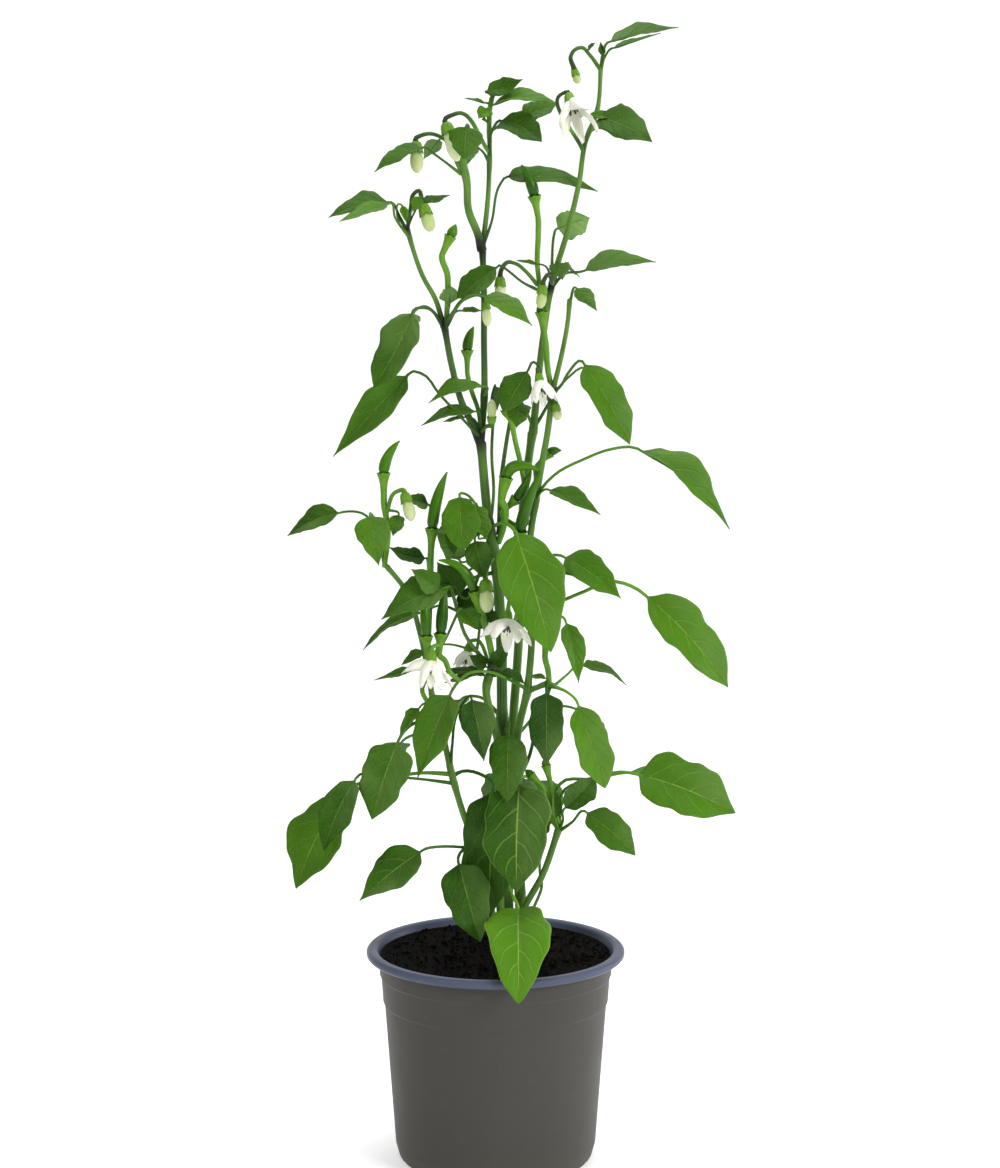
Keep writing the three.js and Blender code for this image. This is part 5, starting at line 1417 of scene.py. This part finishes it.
left.leaf(
    [(-10, -12, 173), (-18, -17, 175), (-29, -20, 176)], (-38, -22, 175), (-72, -34, 150),
    (-0.2, -0.85, 0.5), 22, bow=3, tone=0.2, bold=0.4,
)
left.leaf(
    [(-10, -12, 172), (-17, -18, 174)], (-20, -24, 170), (-8, -43, 130), (-0.1, -0.9, 0.4), 25, bow=3,
    tone=0.05, cut=(0.55, 0.8),
)
left.leaf(
    [(-59, -5, 325), (-62, -6, 341), (-70, -8, 353)], (-81, -9, 354), (-111, 2, 340), (-0.1, -0.7, 0.7), 15,
    bow=3,
)
left.leaf([(-60, -5, 331), (-62, -12, 348)], (-66, -17, 354), (-61, -30, 328), (0, -0.95, 0.3), 18, bow=2)
left.leaf([(-58, -7, 355)], (-51, -9, 353), (-54, -17, 342), (0, -0.9, 0.4), 9)
left.leaf(
    [(-36, -8, 268), (-35, -7, 319), (-36, -5, 326)], (-36, -5, 329), (-56, -14, 336), (0, -0.6, 0.8), 13,
    bow=-3, tone=0.05,
)
left.leaf(
    [(-36, -6, 304), (-34, -6, 341), (-35, -3, 352)], (-35, 0, 357), (-48, -6, 361), (0, -0.7, 0.7), 10,
    tone=0.1,
)
left.leaf(
    [(-28, -13, 234), (-38, 0, 234)], (-50, 10, 228), (-68, 42, 192), (-0.3, 0.8, 0.5), 20, bow=3, tone=0.3,
)
left.pod(
    [(-59, -5, 324), (-57, -6, 345), (-59, -7, 359)], (-59, -7, 374), (-50.5, -7, 391.5), 6,
    middle=(-59, -7, 383.5), thick=1.7,
)
left.pod(
    [(-40, -6, 287), (-34.5, -6, 306.5), (-34.5, -7, 322)], (-33.5, -7, 344.5), (-25.5, -6, 375), 6.4,
    middle=(-32.5, -7, 361), thick=1.7,
)
left.pod(
    [(-33, -11, 248), (-39, -14, 260), (-35.5, -16, 269.5)], (-36.5, -17, 288.5), (-38, -14, 313.5), 6,
    middle=(-37, -17, 302), thick=1.5,
)
left.bud([(-58, -7, 352), (-56, -8, 360), (-52, -11, 365)], (-47, -13, 361), (-44, -15, 350), 6.4)
left.flower(
    [(-36, -8, 268), (-33, -19, 276), (-31, -23, 285)], (-33.5, -28, 278.5), (-34, -30, 266.5), 5.6,
    petal=17.5, flare=36, lobes=(0.9, 1, 1, 1, 1.9),
)
left.grow()

# ---------------------------------------------------------------- low shoot
# The youngest stem, which leans out to the right just above the soil. It carries one large leaf,
# some small ones and two pods that have only just set.

low = Shoot("low")
low.stem([(8, -12, 88), (10, -12, 123), (16, -11, 141), (25, -12, 158), (34, -14, 185)], 2, 1.7)
low.stem([(12, -9, 122), (21, -6, 140), (25, -2, 151), (24, 0, 157), (24, 4, 164), (25, 7, 172)], 0.9, 0.7)
low.leaf(
    [(34, -14, 184), (31, -12, 200), (35, -12, 209), (52, -17, 212)], (73, -20, 216), (127, -28, 196),
    (0.25, -0.85, 0.5), 34, fold=14, bow=5, cut=(0.55, 0.8), tone=0.65, bold=0.45,
)
low.leaf(
    [(34, -14, 183), (41, -18, 189)], (47, -22, 196), (74, -32, 174), (0.2, -0.85, 0.5), 19, bow=3,
    tone=0.3, cut=(0.6, 0.8),
)
low.leaf(
    [(34, -14, 184), (36, -18, 190)], (36, -21, 196), (53, -26, 215), (0.4, -0.9, 0.2), 15, tone=0.15,
    cut=(0.75, 0.7),
)
low.leaf([(34, -14, 183)], (29, -10, 187), (22, -5, 178), (0, -0.8, 0.6), 8)
low.leaf([(34, -14, 184)], (32, -18, 190), (31, -20, 209), (0.6, -0.8, 0), 8, fold=30)
low.leaf(
    [(34, -13, 184), (37, -6, 204), (52, -2, 209)], (70, 8, 211), (104, 36, 188), (0.2, 0.6, 0.8), 20,
    bow=4, tone=0.4,
)
low.pod([(34, -14, 184), (30, -15, 203), (27, -16, 216)], (27, -16, 219), (26, -16, 223), 4.5, thick=1.4)
low.pod([(33, -14, 184), (27, -16, 202), (21, -17, 211)], (19, -17, 214), (16, -17, 217), 4.5, thick=1.4)
low.grow()

# ---------------------------------------------------------------- room
# A pale studio sweep under and behind the pot, lit by three big soft boxes and a small one in a
# white room. The camera stands at the photograph's place, 1.4 m in front of the pot and half a
# metre up, and looks a little down.

SWEEP_WIDTH = 9
SWEEP_FRONT = -3
SWEEP_BACK = 2.6
SWEEP_HEIGHT = 4
SWEEP_BEND = 1.2
SOFT_BOXES = [  # name, place, height that it is aimed at, width across, watts and tint
    ("key_box", (-1.1, -1.5, 1.5), 0.3, 0.8, 15, (1, 1, 1)),
    ("fill_box", (1.4, -1.3, 1.1), 0.3, 0.8, 25, (1, 1, 1)),
    ("top_box", (0.1, 0.2, 2), 0.3, 1.2, 26, (1, 1, 1)),
    ("side_box", (1.7, 0.5, 0.5), 0.2, 0.6, 10.5, (0.93, 0.92, 1)),
]
CAMERA_PLACE = (2.4, -1400, 495)  # in millimetres, while the sweep and the boxes are in metres
CAMERA_TILT = 82.652  # degrees up from straight down
SENSOR_WIDTH = 36
FOCAL_LENGTH = 81.555

let_go()
bpy.ops.mesh.primitive_plane_add(size=1, location=(0, 0, 0))
sweep = name_piece(bpy.context.object, "studio_floor")
for corner in sweep.data.vertices:
    corner.co = (corner.co.x * SWEEP_WIDTH, SWEEP_FRONT if corner.co.y < 0 else SWEEP_BACK, 0)
    corner.select = corner.co.y > 0
bpy.context.tool_settings.mesh_select_mode = (False, True, False)
for edge in sweep.data.edges:
    edge.select = all(sweep.data.vertices[k].co.y > 0 for k in edge.vertices)
for face in sweep.data.polygons:
    face.select = False
bpy.ops.object.mode_set(mode="EDIT")
bpy.ops.mesh.extrude_region_move(TRANSFORM_OT_translate={"value": (0, 0, SWEEP_HEIGHT)})
bpy.ops.object.mode_set(mode="OBJECT")
apply(
    sweep, "BEVEL", width=SWEEP_BEND, segments=24,
    limit_method="ANGLE", angle_limit=math.radians(30),
)  # fmt: skip
bpy.ops.object.shade_smooth()
paper = Finish("studio_paper")
paper.feed(
    Base_Color=paper.mix(paper.clouds(3, 3), paint(226, 226, 226), paint(233, 233, 233)),
    Roughness=0.9,
    Specular_IOR_Level=0.1,
    Emission_Color=(1, 1, 1, 1),
    Emission_Strength=0.42,
)
sweep.data.materials.append(paper.material)

for name, place, aim, size, power, tint in SOFT_BOXES:
    lamp = bpy.data.lights.new(name, "AREA")
    lamp.shape = "DISK"
    lamp.size = size
    lamp.energy = power
    lamp.color = tint
    holder = bpy.data.objects.new(name, lamp)
    holder.location = place
    toward = Vector((0, 0, aim)) - Vector(place)
    holder.rotation_euler = toward.to_track_quat("-Z", "Y").to_euler()
    bpy.context.collection.objects.link(holder)

room = bpy.data.worlds.new("white_room")
bpy.context.scene.world = room
room.use_nodes = True
walls = room.node_tree.nodes["Background"]
walls.inputs["Color"].default_value = (1, 1, 1, 1)
walls.inputs["Strength"].default_value = 0.2
bpy.context.scene.view_settings.view_transform = "Standard"

lens = bpy.data.cameras.new("camera")
lens.sensor_width = SENSOR_WIDTH
lens.lens = FOCAL_LENGTH
camera = bpy.data.objects.new("camera", lens)
camera.location = [place * MM for place in CAMERA_PLACE]
camera.rotation_euler = (math.radians(CAMERA_TILT), 0, 0)
bpy.context.collection.objects.link(camera)
bpy.context.scene.camera = camera
